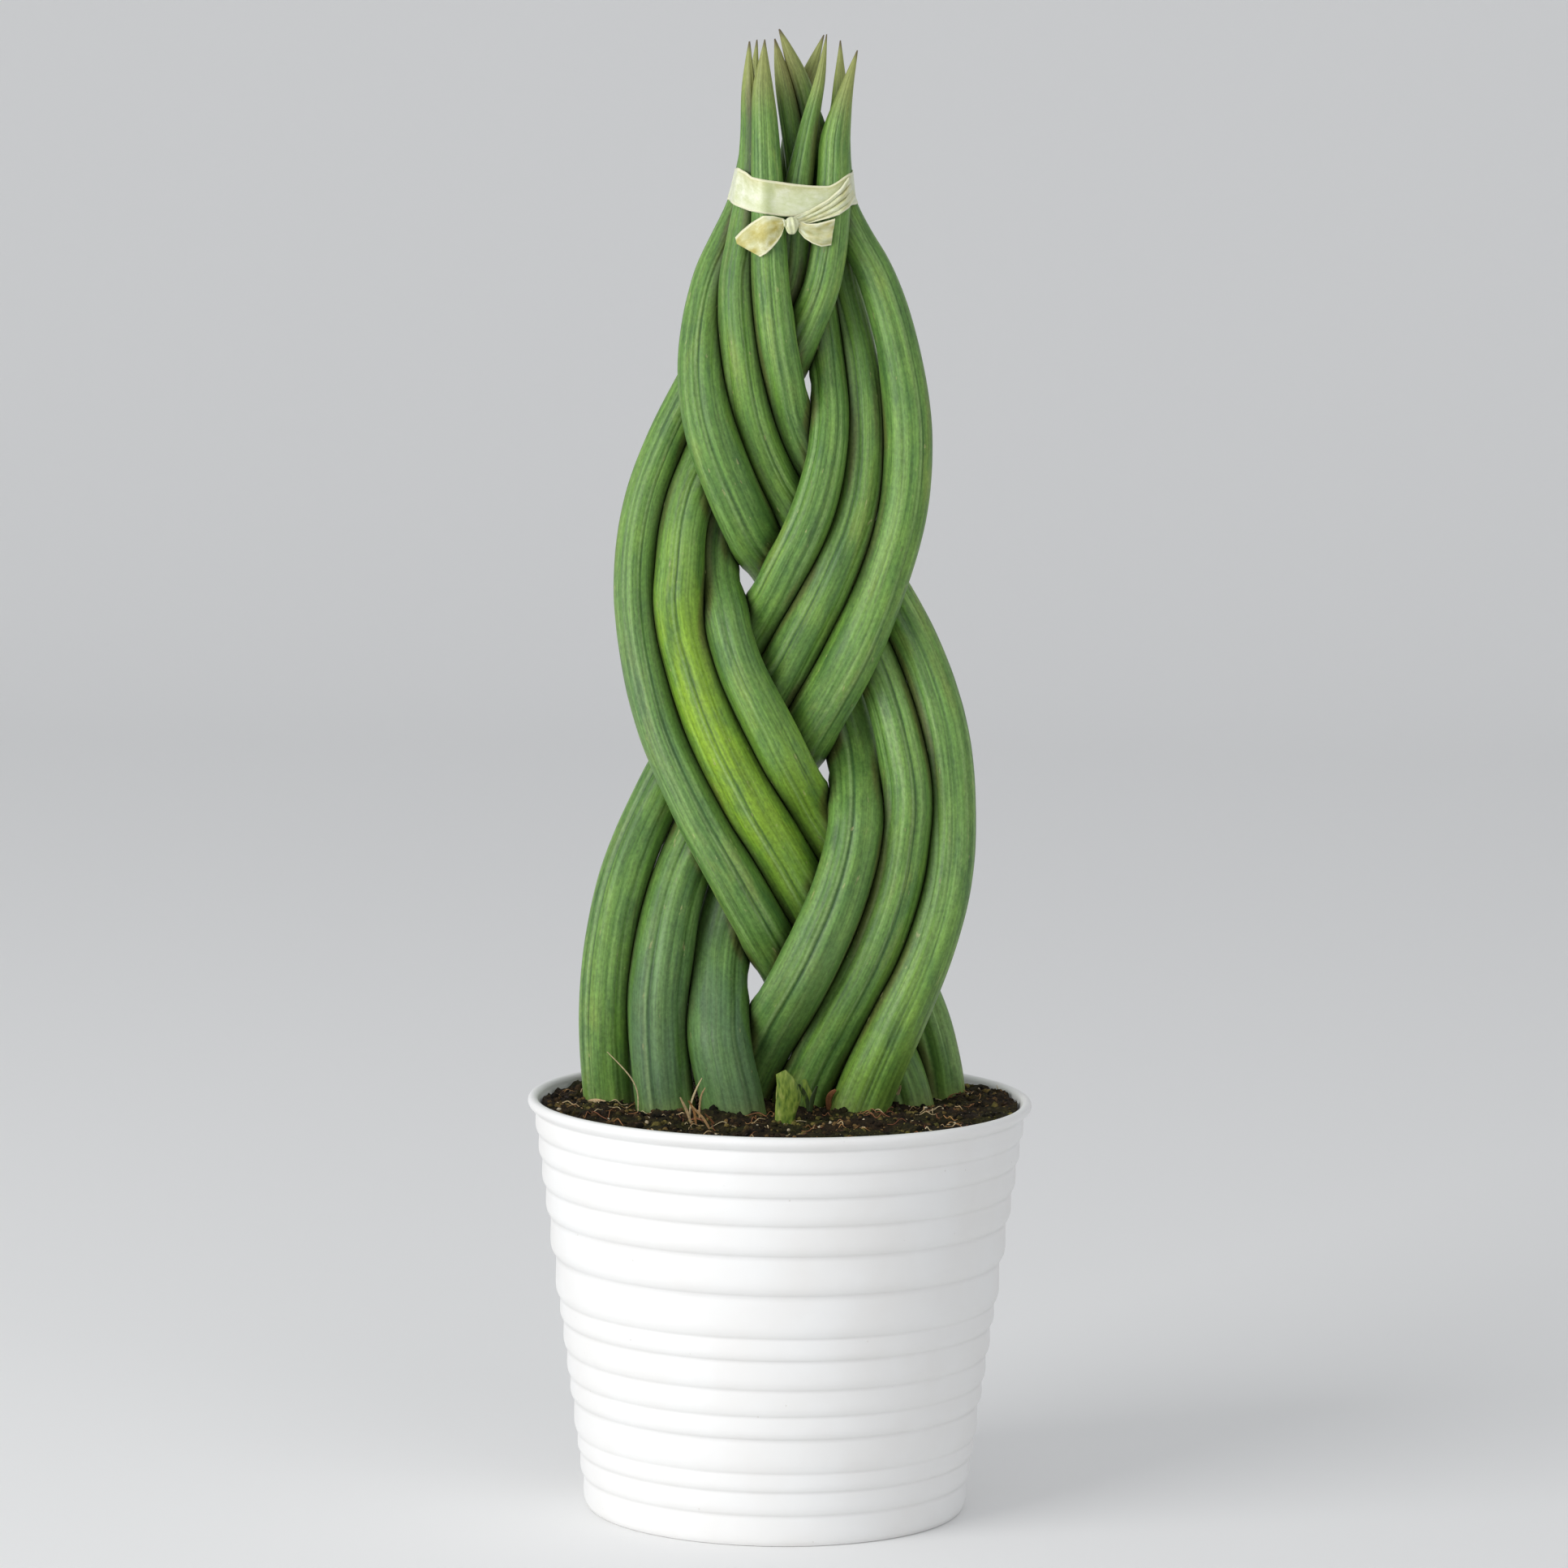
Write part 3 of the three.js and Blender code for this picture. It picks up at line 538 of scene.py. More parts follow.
def bundle_edge(sections, angle, room):
    """Where a ribbon drawn tight round these sections runs in one direction, with some room."""
    out = Vector((math.cos(angle), math.sin(angle), 0))
    best, reach = None, -math.inf
    for middle, radius, axis in sections:
        # A level cut through a leaning leaf is an ellipse, longest the way the leaf leans
        lean = Vector((axis.x, axis.y, 0)) / axis.z
        along = out + lean * out.dot(lean)
        half = radius * math.sqrt(out.dot(along))
        if middle.dot(out) + half > reach:
            reach = middle.dot(out) + half
            best = middle + along * (radius * radius / half)
    return best + out * room


# Settings that a user would change


class PotSettings(PropertyGroup):
    """The pot's glaze and its bands"""

    glaze: StringProperty(name="Glaze", description="Colour of the glaze, as sRGB hex", default="#EFEFEE")
    segments: IntProperty(name="Segments", description="Faces round the pot", default=192)
    step: FloatProperty(
        name="Step", description="Height over which a band rounds in", default=4.6 * MM, subtype="DISTANCE"
    )
    bulge: FloatProperty(
        name="Bulge", description="How far a band swells", default=0.16 * MM, subtype="DISTANCE"
    )
    wobble: FloatProperty(
        name="Wobble", description="Unevenness left by the casting", default=0.05 * MM, subtype="DISTANCE"
    )


class SoilSettings(PropertyGroup):
    """The soil's level and what lies on it"""

    level: FloatProperty(
        name="Level", description="Height of the soil", default=136.0 * MM, subtype="DISTANCE"
    )
    lumps: FloatProperty(
        name="Lumps", description="Height of the largest lumps", default=2.2 * MM, subtype="DISTANCE"
    )
    crumbs: IntProperty(name="Crumbs", description="Loose crumbs of peat", default=3500)
    clods: IntProperty(name="Clods", description="Larger clods of peat", default=380)
    chips: IntProperty(name="Chips", description="Slivers of bark", default=900)
    grains: IntProperty(name="Grains", description="Grains of pumice", default=110)
    threads: IntProperty(name="Threads", description="Loose root threads", default=260)
    seed: IntProperty(name="Seed", description="Fixes every random draw", default=7)


class LeafSettings(PropertyGroup):
    """The leaves' grooves and how they meet"""

    sides: IntProperty(name="Sides", description="Faces round a leaf", default=128)
    steps: IntProperty(name="Steps", description="Rings between two rings of the solid", default=5)
    valley: FloatProperty(
        name="Valley",
        description="Depth of the valley round a groove, as a share of the radius",
        default=0.085,
    )
    crease: FloatProperty(
        name="Crease", description="Depth of a groove, as a share of the radius", default=0.035
    )
    skin: FloatProperty(
        name="Skin",
        description="How far the leaf stands proud of its solid",
        default=0.15 * MM,
        subtype="DISTANCE",
    )
    ripple: FloatProperty(
        name="Ripple", description="Uneven swelling along the leaf", default=0.5 * MM, subtype="DISTANCE"
    )
    meet: FloatProperty(
        name="Meet",
        description="Gap to a neighbour that the leaf swells to close",
        default=1.5 * MM,
        subtype="DISTANCE",
    )


class RibbonSettings(PropertyGroup):
    """The ribbon's colour and size"""

    satin: StringProperty(name="Satin", description="Colour of the ribbon, as sRGB hex", default="#DBE0BC")
    width: FloatProperty(
        name="Width", description="Width of the ribbon", default=11.0 * MM, subtype="DISTANCE"
    )
    thickness: FloatProperty(
        name="Thickness", description="Thickness of the ribbon", default=0.3 * MM, subtype="DISTANCE"
    )


class StageSettings(PropertyGroup):
    """The light on the plant"""

    key_power: FloatProperty(
        name="Key", description="Power of the large light at the left", default=40.0, unit="POWER"
    )
    fill_power: FloatProperty(
        name="Fill", description="Power of the fill light", default=5.0, unit="POWER"
    )
    sky: FloatProperty(name="Sky", description="Strength of the light from all round", default=0.60)


# Materials


def material_glaze(settings):
    """Glazed stoneware: slip cast and fired white, so it is smooth, evenly bright and softly glossy."""
    material, shader = new_material("glazed_stoneware")
    tree = material.node_tree
    place = add_node(tree, "ShaderNodeTexCoord").outputs["Object"]
    # The glaze lies a little thinner and greyer in patches about 24 mm wide
    cloud = add_node(
        tree, "ShaderNodeTexNoise", {"Vector": place, "Scale": 1 / (24 * MM), "Detail": 3.0}
    ).outputs["Fac"]
    colour = set_ramp(
        add_node(tree, "ShaderNodeValToRGB", {"Fac": cloud}), ((0.35, "#ECEBE9"), (0.65, settings.glaze))
    )
    # Specks of iron in the clay, about half a millimetre wide and far apart
    speck = add_node(
        tree, "ShaderNodeTexVoronoi", {"Vector": place, "Scale": 1 / (9 * MM)}
    ).outputs["Distance"]
    spot = add_node(
        tree,
        "ShaderNodeMapRange",
        {"Value": speck, "From Min": 0.02, "From Max": 0.045, "To Min": 0.35, "To Max": 0.0},
    ).outputs["Result"]
    colour = add_node(
        tree, "ShaderNodeMix", {"Factor": spot, 6: colour, 7: linear("#B9B2A6")}, data_type="RGBA"
    ).outputs[2]
    tree.links.new(colour, shader.inputs["Base Color"])
    shader.inputs["Roughness"].default_value = 0.48
    shader.inputs["IOR"].default_value = 1.5
    shader.inputs["Coat Weight"].default_value = 0.2
    shader.inputs["Coat Roughness"].default_value = 0.22
    # The glaze's skin: soft dimples about 4 mm apart and a few hundredths of a millimetre deep
    dimple = add_node(
        tree, "ShaderNodeTexNoise", {"Vector": place, "Scale": 1 / (4 * MM), "Detail": 2.0}
    ).outputs["Fac"]
    bump = add_node(tree, "ShaderNodeBump", {"Height": dimple, "Strength": 0.15, "Distance": 0.15 * MM})
    tree.links.new(bump.outputs["Normal"], shader.inputs["Normal"])
    return material


def material_leaf():
    """Leaf cuticle: a thin wax over green tissue, so it has a broad soft sheen and fine mottling."""
    material, shader = new_material("leaf_cuticle")
    tree = material.node_tree
    skin = add_node(tree, "ShaderNodeAttribute", attribute_name="skin").outputs["Vector"]
    look = {
        name: add_node(tree, "ShaderNodeAttribute", attribute_name=name).outputs["Fac"]
        for name in ("groove", "lip", "yellow", "bloom", "foot", "tip", "crevice")
    }
    for name, (across, along, detail, roughness) in LEAF_PATTERNS.items():
        scale = (1 / (across * MM), 1 / (across * MM), 1 / (along * MM))
        laid = add_node(tree, "ShaderNodeMapping", {"Vector": skin, "Scale": scale}).outputs["Vector"]
        values = {"Vector": laid, "Scale": 1.0, "Detail": detail, "Roughness": roughness}
        look[name] = add_node(tree, "ShaderNodeTexNoise", values).outputs["Fac"]

    colour = set_ramp(add_node(tree, "ShaderNodeValToRGB", {"Fac": look["band"]}), LEAF_GREENS)
    for code, *limits in LEAF_LAYERS:
        share = 1.0
        for name, low, high, least, most in limits:
            reading = add_node(
                tree,
                "ShaderNodeMapRange",
                {"Value": look[name], "From Min": low, "From Max": high, "To Min": least, "To Max": most},
                interpolation_type="SMOOTHSTEP",
            ).outputs["Result"]
            share = add_node(
                tree, "ShaderNodeMath", {0: share, 1: reading}, operation="MULTIPLY"
            ).outputs[0]
        colour = add_node(
            tree, "ShaderNodeMix", {"Factor": share, 6: colour, 7: linear(code)}, data_type="RGBA"
        ).outputs[2]
    # Fibres and a fine grain lighten and darken the green
    speckle = add_node(
        tree, "ShaderNodeMath", {0: look["fibre"], 1: look["grain"]}, operation="ADD"
    ).outputs[0]
    light = add_node(
        tree,
        "ShaderNodeMapRange",
        {"Value": speckle, "From Min": 0.70, "From Max": 1.30, "To Min": 0.58, "To Max": 1.20},
    ).outputs["Result"]
    colour = add_node(
        tree,
        "ShaderNodeHueSaturation",
        {"Color": colour, "Value": light, "Hue": 0.496, "Saturation": 1.07},
    ).outputs["Color"]
    tree.links.new(colour, shader.inputs["Base Color"])
    shader.inputs["Roughness"].default_value = 0.46
    shader.inputs["IOR"].default_value = 1.42
    relief = add_node(
        tree, "ShaderNodeBump", {"Height": look["fibre"], "Strength": 0.3, "Distance": 0.12 * MM}
    ).outputs["Normal"]
    fine = add_node(
        tree,
        "ShaderNodeBump",
        {"Height": look["grain"], "Strength": 0.22, "Distance": 0.1 * MM, "Normal": relief},
    ).outputs["Normal"]
    tree.links.new(fine, shader.inputs["Normal"])
    return material


def material_soil():
    """Potting peat: moist, dark and crumbly, nearly without gloss, and greenish in patches."""
    material, shader = new_material("moist_peat")
    tree = material.node_tree
    place = add_node(tree, "ShaderNodeTexCoord").outputs["Object"]
    tint = add_node(tree, "ShaderNodeAttribute", attribute_name="tint").outputs["Fac"]
    # Crumbs about 2 mm wide, and patches of green about 14 mm wide
    clod = add_node(
        tree,
        "ShaderNodeTexNoise",
        {"Vector": place, "Scale": 1 / (2.2 * MM), "Detail": 6.0, "Roughness": 0.75},
    ).outputs["Fac"]
    moss = add_node(
        tree, "ShaderNodeTexNoise", {"Vector": place, "Scale": 1 / (14 * MM), "Detail": 3.0}
    ).outputs["Fac"]
    mixed = add_node(tree, "ShaderNodeMath", {0: clod, 1: tint}, operation="ADD").outputs[0]
    brown = set_ramp(
        add_node(tree, "ShaderNodeValToRGB", {"Fac": mixed}),
        ((0.32, "#120E08"), (0.52, "#2B2115"), (0.74, "#4C3A24"), (1.0, "#83683F")),
    )
    green = set_ramp(
        add_node(tree, "ShaderNodeValToRGB", {"Fac": mixed}),
        ((0.32, "#141307"), (0.52, "#2E2C14"), (0.74, "#565227"), (1.0, "#8C8243")),
    )
    share = add_node(
        tree, "ShaderNodeMapRange", {"Value": moss, "From Min": 0.42, "From Max": 0.62}
    ).outputs["Result"]
    colour = add_node(
        tree, "ShaderNodeMix", {"Factor": share, 6: brown, 7: green}, data_type="RGBA"
    ).outputs[2]
    tree.links.new(colour, shader.inputs["Base Color"])
    shader.inputs["Roughness"].default_value = 0.92
    shader.inputs["Specular IOR Level"].default_value = 0.2
    bump = add_node(tree, "ShaderNodeBump", {"Height": clod, "Strength": 1.0, "Distance": 0.9 * MM})
    tree.links.new(bump.outputs["Normal"], shader.inputs["Normal"])
    return material


def material_litter(name):
    """Dry plant litter and grit: dull, with a colour of its own for each bit and darker flecks on it."""
    stops, roughness = LITTER[name]
    material, shader = new_material(name)
    tree = material.node_tree
    tint = add_node(tree, "ShaderNodeAttribute", attribute_name="tint").outputs["Fac"]
    place = add_node(tree, "ShaderNodeTexCoord").outputs["Object"]
    fleck = add_node(
        tree, "ShaderNodeTexNoise", {"Vector": place, "Scale": 1 / (0.7 * MM), "Detail": 3.0}
    ).outputs["Fac"]
    varied = add_node(
        tree,
        "ShaderNodeMapRange",
        {"Value": fleck, "From Min": 0.3, "From Max": 0.7, "To Min": 0.65, "To Max": 1.2},
    ).outputs["Result"]
    colour = set_ramp(add_node(tree, "ShaderNodeValToRGB", {"Fac": tint}), stops)
    colour = add_node(tree, "ShaderNodeHueSaturation", {"Color": colour, "Value": varied}).outputs["Color"]
    tree.links.new(colour, shader.inputs["Base Color"])
    shader.inputs["Roughness"].default_value = roughness
    return material


def material_ribbon(settings):
    """Satin ribbon: woven polyester, so it has a soft sheen, fine threads and paler woven edges."""
    material, shader = new_material("satin_ribbon")
    tree = material.node_tree
    weave = add_node(tree, "ShaderNodeAttribute", attribute_name="weave").outputs["Vector"]
    edge = add_node(tree, "ShaderNodeSeparateXYZ", {"Vector": weave}).outputs["Y"]
    ochre = add_node(tree, "ShaderNodeAttribute", attribute_name="ochre").outputs["Fac"]
    moss = add_node(tree, "ShaderNodeAttribute", attribute_name="moss").outputs["Fac"]
    # Handling has left it paler and yellower in patches about 3.5 mm wide
    cloud = add_node(
        tree,
        "ShaderNodeTexNoise",
        {"Vector": weave, "Scale": 1 / (3.5 * MM), "Detail": 4.0, "Roughness": 0.6},
    ).outputs["Fac"]
    colour = set_ramp(
        add_node(tree, "ShaderNodeValToRGB", {"Fac": cloud}),
        ((0.30, "#CBD2A2"), (0.50, settings.satin), (0.72, "#EEF0DC")),
    )
    warm = set_ramp(
        add_node(tree, "ShaderNodeValToRGB", {"Fac": cloud}),
        ((0.30, "#A99C4A"), (0.50, "#BFB568"), (0.72, "#D8D6A2")),
    )
    colour = add_node(
        tree, "ShaderNodeMix", {"Factor": ochre, 6: colour, 7: warm}, data_type="RGBA"
    ).outputs[2]
    # This tint paints the band's front greener and darker where the leaves behind show through the sheer
    # ribbon
    colour = add_node(
        tree, "ShaderNodeMix", {"Factor": moss, 6: colour, 7: linear("#A3AF6E")}, data_type="RGBA"
    ).outputs[2]
    # The woven edge is 0.8 mm wide and paler
    hem = add_node(
        tree,
        "ShaderNodeMapRange",
        {"Value": edge, "From Min": 0.6 * MM, "From Max": 0.9 * MM, "To Min": 0.75, "To Max": 0.0},
    ).outputs["Result"]
    colour = add_node(
        tree, "ShaderNodeMix", {"Factor": hem, 6: colour, 7: linear("#EDEBC9")}, data_type="RGBA"
    ).outputs[2]
    tree.links.new(colour, shader.inputs["Base Color"])
    shader.inputs["Roughness"].default_value = 0.42
    shader.inputs["Sheen Weight"].default_value = 0.3
    shader.inputs["Sheen Roughness"].default_value = 0.4
    # Real threads lie about 0.12 mm apart. They are drawn 0.55 mm apart so that they show
    thread = add_node(
        tree,
        "ShaderNodeTexWave",
        {"Vector": weave, "Scale": WAVE_LENGTH / (0.55 * MM), "Distortion": 0.8, "Detail": 1.0},
        bands_direction="Z",
    ).outputs["Fac"]
    bump = add_node(tree, "ShaderNodeBump", {"Height": thread, "Strength": 0.25, "Distance": 0.1 * MM})
    crumple = add_node(
        tree,
        "ShaderNodeBump",
        {"Height": cloud, "Strength": 0.5, "Distance": 0.5 * MM, "Normal": bump.outputs["Normal"]},
    )
    tree.links.new(crumple.outputs["Normal"], shader.inputs["Normal"])
    return material


def material_shoot():
    """Young shoot: thin-skinned and yellow-green, with paler veins and brown, torn edges."""
    material, shader = new_material("young_shoot")
    tree = material.node_tree
    place = add_node(tree, "ShaderNodeTexCoord").outputs["Object"]
    tint = add_node(tree, "ShaderNodeAttribute", attribute_name="tint").outputs["Fac"]
    # Veins about 1 mm wide that run up the blades for about 4 mm
    scale = (1 / (1.1 * MM), 1 / (1.1 * MM), 1 / (4 * MM))
    stretched = add_node(tree, "ShaderNodeMapping", {"Vector": place, "Scale": scale}).outputs["Vector"]
    streak = add_node(
        tree, "ShaderNodeTexNoise", {"Vector": stretched, "Scale": 1.0, "Detail": 4.0}
    ).outputs["Fac"]
    mixed = add_node(tree, "ShaderNodeMath", {0: streak, 1: tint}, operation="ADD").outputs[0]
    colour = set_ramp(
        add_node(tree, "ShaderNodeValToRGB", {"Fac": mixed}),
        ((0.25, "#26350F"), (0.45, "#4F6A20"), (0.65, "#7C9236"), (0.9, "#AEB465")),
    )
    tree.links.new(colour, shader.inputs["Base Color"])
    shader.inputs["Roughness"].default_value = 0.5
    bump = add_node(tree, "ShaderNodeBump", {"Height": streak, "Strength": 0.5, "Distance": 0.3 * MM})
    tree.links.new(bump.outputs["Normal"], shader.inputs["Normal"])
    return material


# The pot


def wall_radius(height):
    """The even taper of the pot's wall."""
    return WALL_RADIUS_AT_FOOT + (WALL_RADIUS_AT_RIM - WALL_RADIUS_AT_FOOT) * height / POT_HEIGHT


def inner_radius(height):
    """The inside of the pot's wall, which opens out towards the lip."""
    shoulder = POT_HEIGHT - RIM_DEPTH
    if height <= shoulder:
        return wall_radius(height) - WALL_THICKNESS
    low = wall_radius(shoulder) - WALL_THICKNESS
    top = LIP_RADIUS - LIP_THICKNESS
    return low + (top - low) * (height - shoulder) / (RIM_DEPTH - LIP_ROLL)


def pot_profile(settings):
    """The pot's outline from the middle of its foot, up its bands, over the lip and down inside."""
    step, bulge = settings.step / MM, settings.bulge / MM
    foot = wall_radius(0)
    recess = foot - FOOT_RING_WIDTH
    profile = [(0, FOOT_RECESS), (recess, FOOT_RECESS), (recess + FOOT_RECESS, 0)]
    profile += [(foot + out, up) for out, up in FOOT_CURVE]
    edges = (FOOT_CURVE[-1][1], *RIB_HEIGHTS)
    below = foot
    for low, high in zip(edges, edges[1:]):
        middle = wall_radius((low + high) / 2)
        rounding = min(step, ROUNDING_SHARE * (high - low))
        for share in ROUNDING_PLACES:
            rise = (1 - (1 - share) ** 2) ** ROUNDING_FULLNESS
            profile.append((below + (middle + bulge - below) * rise, low + rounding * share))
        for row in range(1, ROWS_ABOVE + 1):
            share = row / ROWS_ABOVE
            swell = bulge * math.cos(share * math.pi / 2)
            profile.append((middle + swell, low + rounding + (high - low - rounding) * share))
        below = middle
    profile += [(LIP_RADIUS + out, POT_HEIGHT + up) for out, up in LIP_CURVE]
    shoulder = POT_HEIGHT - RIM_DEPTH
    profile.append((inner_radius(shoulder), shoulder))
    profile.append((inner_radius(FLOOR_THICKNESS + FLOOR_BEND), FLOOR_THICKNESS + FLOOR_BEND))
    profile.append((inner_radius(FLOOR_THICKNESS) - FLOOR_BEND, FLOOR_THICKNESS))
    profile.append((0, FLOOR_THICKNESS))
    return profile


def turned_tree(material):
    """Geometry tree that turns an outline round the pot's axis, with a little unevenness."""
    tree, group, out = new_tree(
        "turned_pot", (("Segments", "NodeSocketInt", 192), ("Wobble", "NodeSocketFloat", 0.00015))
    )
    take = group.outputs
    rows = add_node(
        tree, "GeometryNodeAttributeDomainSize", {"Geometry": take["Geometry"]}, component="MESH"
    ).outputs["Point Count"]
    columns = add_node(tree, "ShaderNodeMath", {0: take["Segments"], 1: 1.0}, operation="ADD").outputs[0]
    sheet = add_node(
        tree,
        "GeometryNodeMeshGrid",
        {"Size X": 1.0, "Size Y": 1.0, "Vertices X": columns, "Vertices Y": rows},
    ).outputs["Mesh"]
    where = add_node(tree, "GeometryNodeInputPosition").outputs[0]
    parts = add_node(tree, "ShaderNodeSeparateXYZ", {"Vector": where})
    angle = add_node(
        tree, "ShaderNodeMath", {0: parts.outputs["X"], 1: TURN, 2: math.pi}, operation="MULTIPLY_ADD"
    ).outputs[0]
    last = add_node(tree, "ShaderNodeMath", {0: rows, 1: 1.0}, operation="SUBTRACT").outputs[0]
    share = add_node(tree, "ShaderNodeMath", {0: parts.outputs["Y"], 1: 0.5}, operation="ADD").outputs[0]
    row = add_node(tree, "ShaderNodeMath", {0: share, 1: last}, operation="MULTIPLY").outputs[0]
    row = add_node(tree, "ShaderNodeMath", {0: row}, operation="ROUND").outputs[0]
    sample = add_node(
        tree,
        "GeometryNodeSampleIndex",
        {"Geometry": take["Geometry"], "Value": where, "Index": row},
        data_type="FLOAT_VECTOR",
        domain="POINT",
    ).outputs[0]
    spin = add_node(tree, "ShaderNodeCombineXYZ", {"Z": angle}).outputs[0]
    turned = add_node(
        tree, "ShaderNodeVectorRotate", {"Vector": sample, "Rotation": spin}, rotation_type="EULER_XYZ"
    ).outputs[0]
    swell = add_node(
        tree, "ShaderNodeTexNoise", {"Vector": turned, "Scale": 1 / (WOBBLE_WIDTH * MM), "Detail": 1.0}
    ).outputs["Fac"]
    centred = add_node(tree, "ShaderNodeMath", {0: swell, 1: 0.5}, operation="SUBTRACT").outputs[0]
    drift = add_node(
        tree, "ShaderNodeMath", {0: centred, 1: take["Wobble"]}, operation="MULTIPLY"
    ).outputs[0]
    drift = add_node(
        tree, "ShaderNodeMath", {0: drift, 1: WOBBLE_RADIUS * MM}, operation="DIVIDE"
    ).outputs[0]
    flat = add_node(
        tree, "ShaderNodeVectorMath", {0: turned, 1: (1.0, 1.0, 0.0)}, operation="MULTIPLY"
    ).outputs[0]
    push = add_node(tree, "ShaderNodeVectorMath", {0: flat, "Scale": drift}, operation="SCALE").outputs[0]
    body = add_node(
        tree, "GeometryNodeSetPosition", {"Geometry": sheet, "Position": turned, "Offset": push}
    ).outputs[0]
    body = add_node(
        tree, "GeometryNodeMergeByDistance", {"Geometry": body, "Distance": SAME_PLACE * MM}
    ).outputs[0]
    body = add_node(tree, "GeometryNodeRealizeInstances", {"Geometry": body}).outputs[0]
    body = add_node(tree, "GeometryNodeSetMaterial", {"Geometry": body, "Material": material}).outputs[0]
    tree.links.new(body, out.inputs[0])
    return tree


def build_pot(settings):
    """The banded cup: its wall, a rounded lip, its inside and a recessed foot."""
    profile = pot_profile(settings)
    points = [(radius, 0, height) for radius, height in profile]
    pot = new_piece("pot_glazed", points, edges=[(i, i + 1) for i in range(len(points) - 1)])
    material = material_glaze(settings)
    grow(pot, turned_tree(material), {"Segments": settings.segments, "Wobble": settings.wobble})
    return finish_piece(pot, material, ["pot"])


# The soil and what is strewn on it


def heap(x, y, height, middle, spread):
    """A round heap, or a hollow where its height is below 0."""
    return height * math.exp(-((x - middle[0]) ** 2 + (y - middle[1]) ** 2) / spread)


def soil_height(x, y, settings):
    """The lumpy top of the soil, with a hollow beside the shoot and a low mound behind the plait."""
    place = Vector((x, y, settings.seed * 10.0))
    height = settings.level / MM
    for share, width in SOIL_LUMPS:
        height += share * (settings.lumps / MM) * noise.noise(place / width)
    height += heap(x, y, *SOIL_MOUND)
    rise, outwards, backwards = SOIL_BANK
    height += rise * smoothstep(*outwards, math.hypot(x, y)) * smoothstep(*backwards, y)
    height += heap(x, y, *SOIL_HOLLOW)
    return height


def build_soil(settings):
    """The fill of the pot: its lumpy top, and its plain sides and bottom inside the wall."""
    turns = [TURN * i / SOIL_SEGMENTS for i in range(SOIL_SEGMENTS)]
    edge = inner_radius(settings.level / MM) - SOIL_EDGE_ROOM
    points = [(0, 0, soil_height(0, 0, settings))]
    for ring in range(1, SOIL_RINGS + 1):
        radius = edge * ring / SOIL_RINGS
        for angle in turns:
            x = radius * math.cos(angle)
            y = radius * math.sin(angle)
            points.append((x, y, soil_height(x, y, settings)))
    bottom = FLOOR_THICKNESS + FLOOR_BEND + SOIL_FLOOR_ROOM
    for height in (POT_HEIGHT - RIM_DEPTH, bottom):
        radius = inner_radius(height) - SOIL_SIDE_ROOM
        points += [(radius * math.cos(angle), radius * math.sin(angle), height) for angle in turns]
    points.append((0, 0, bottom))
    faces = [(0, 1 + i, 1 + (i + 1) % SOIL_SEGMENTS) for i in range(SOIL_SEGMENTS)]
    for face in grid_faces(SOIL_RINGS + 2, SOIL_SEGMENTS, True):
        faces.append(tuple(1 + i for i in reversed(face)))
    last = 1 + (SOIL_RINGS + 1) * SOIL_SEGMENTS
    for i in range(SOIL_SEGMENTS):
        faces.append((len(points) - 1, last + (i + 1) % SOIL_SEGMENTS, last + i))
    soil = new_piece("soil_fill", points, faces)
    store(soil, "tint", [0.0] * len(points))
    return finish_piece(soil, material_soil(), ["soil"])


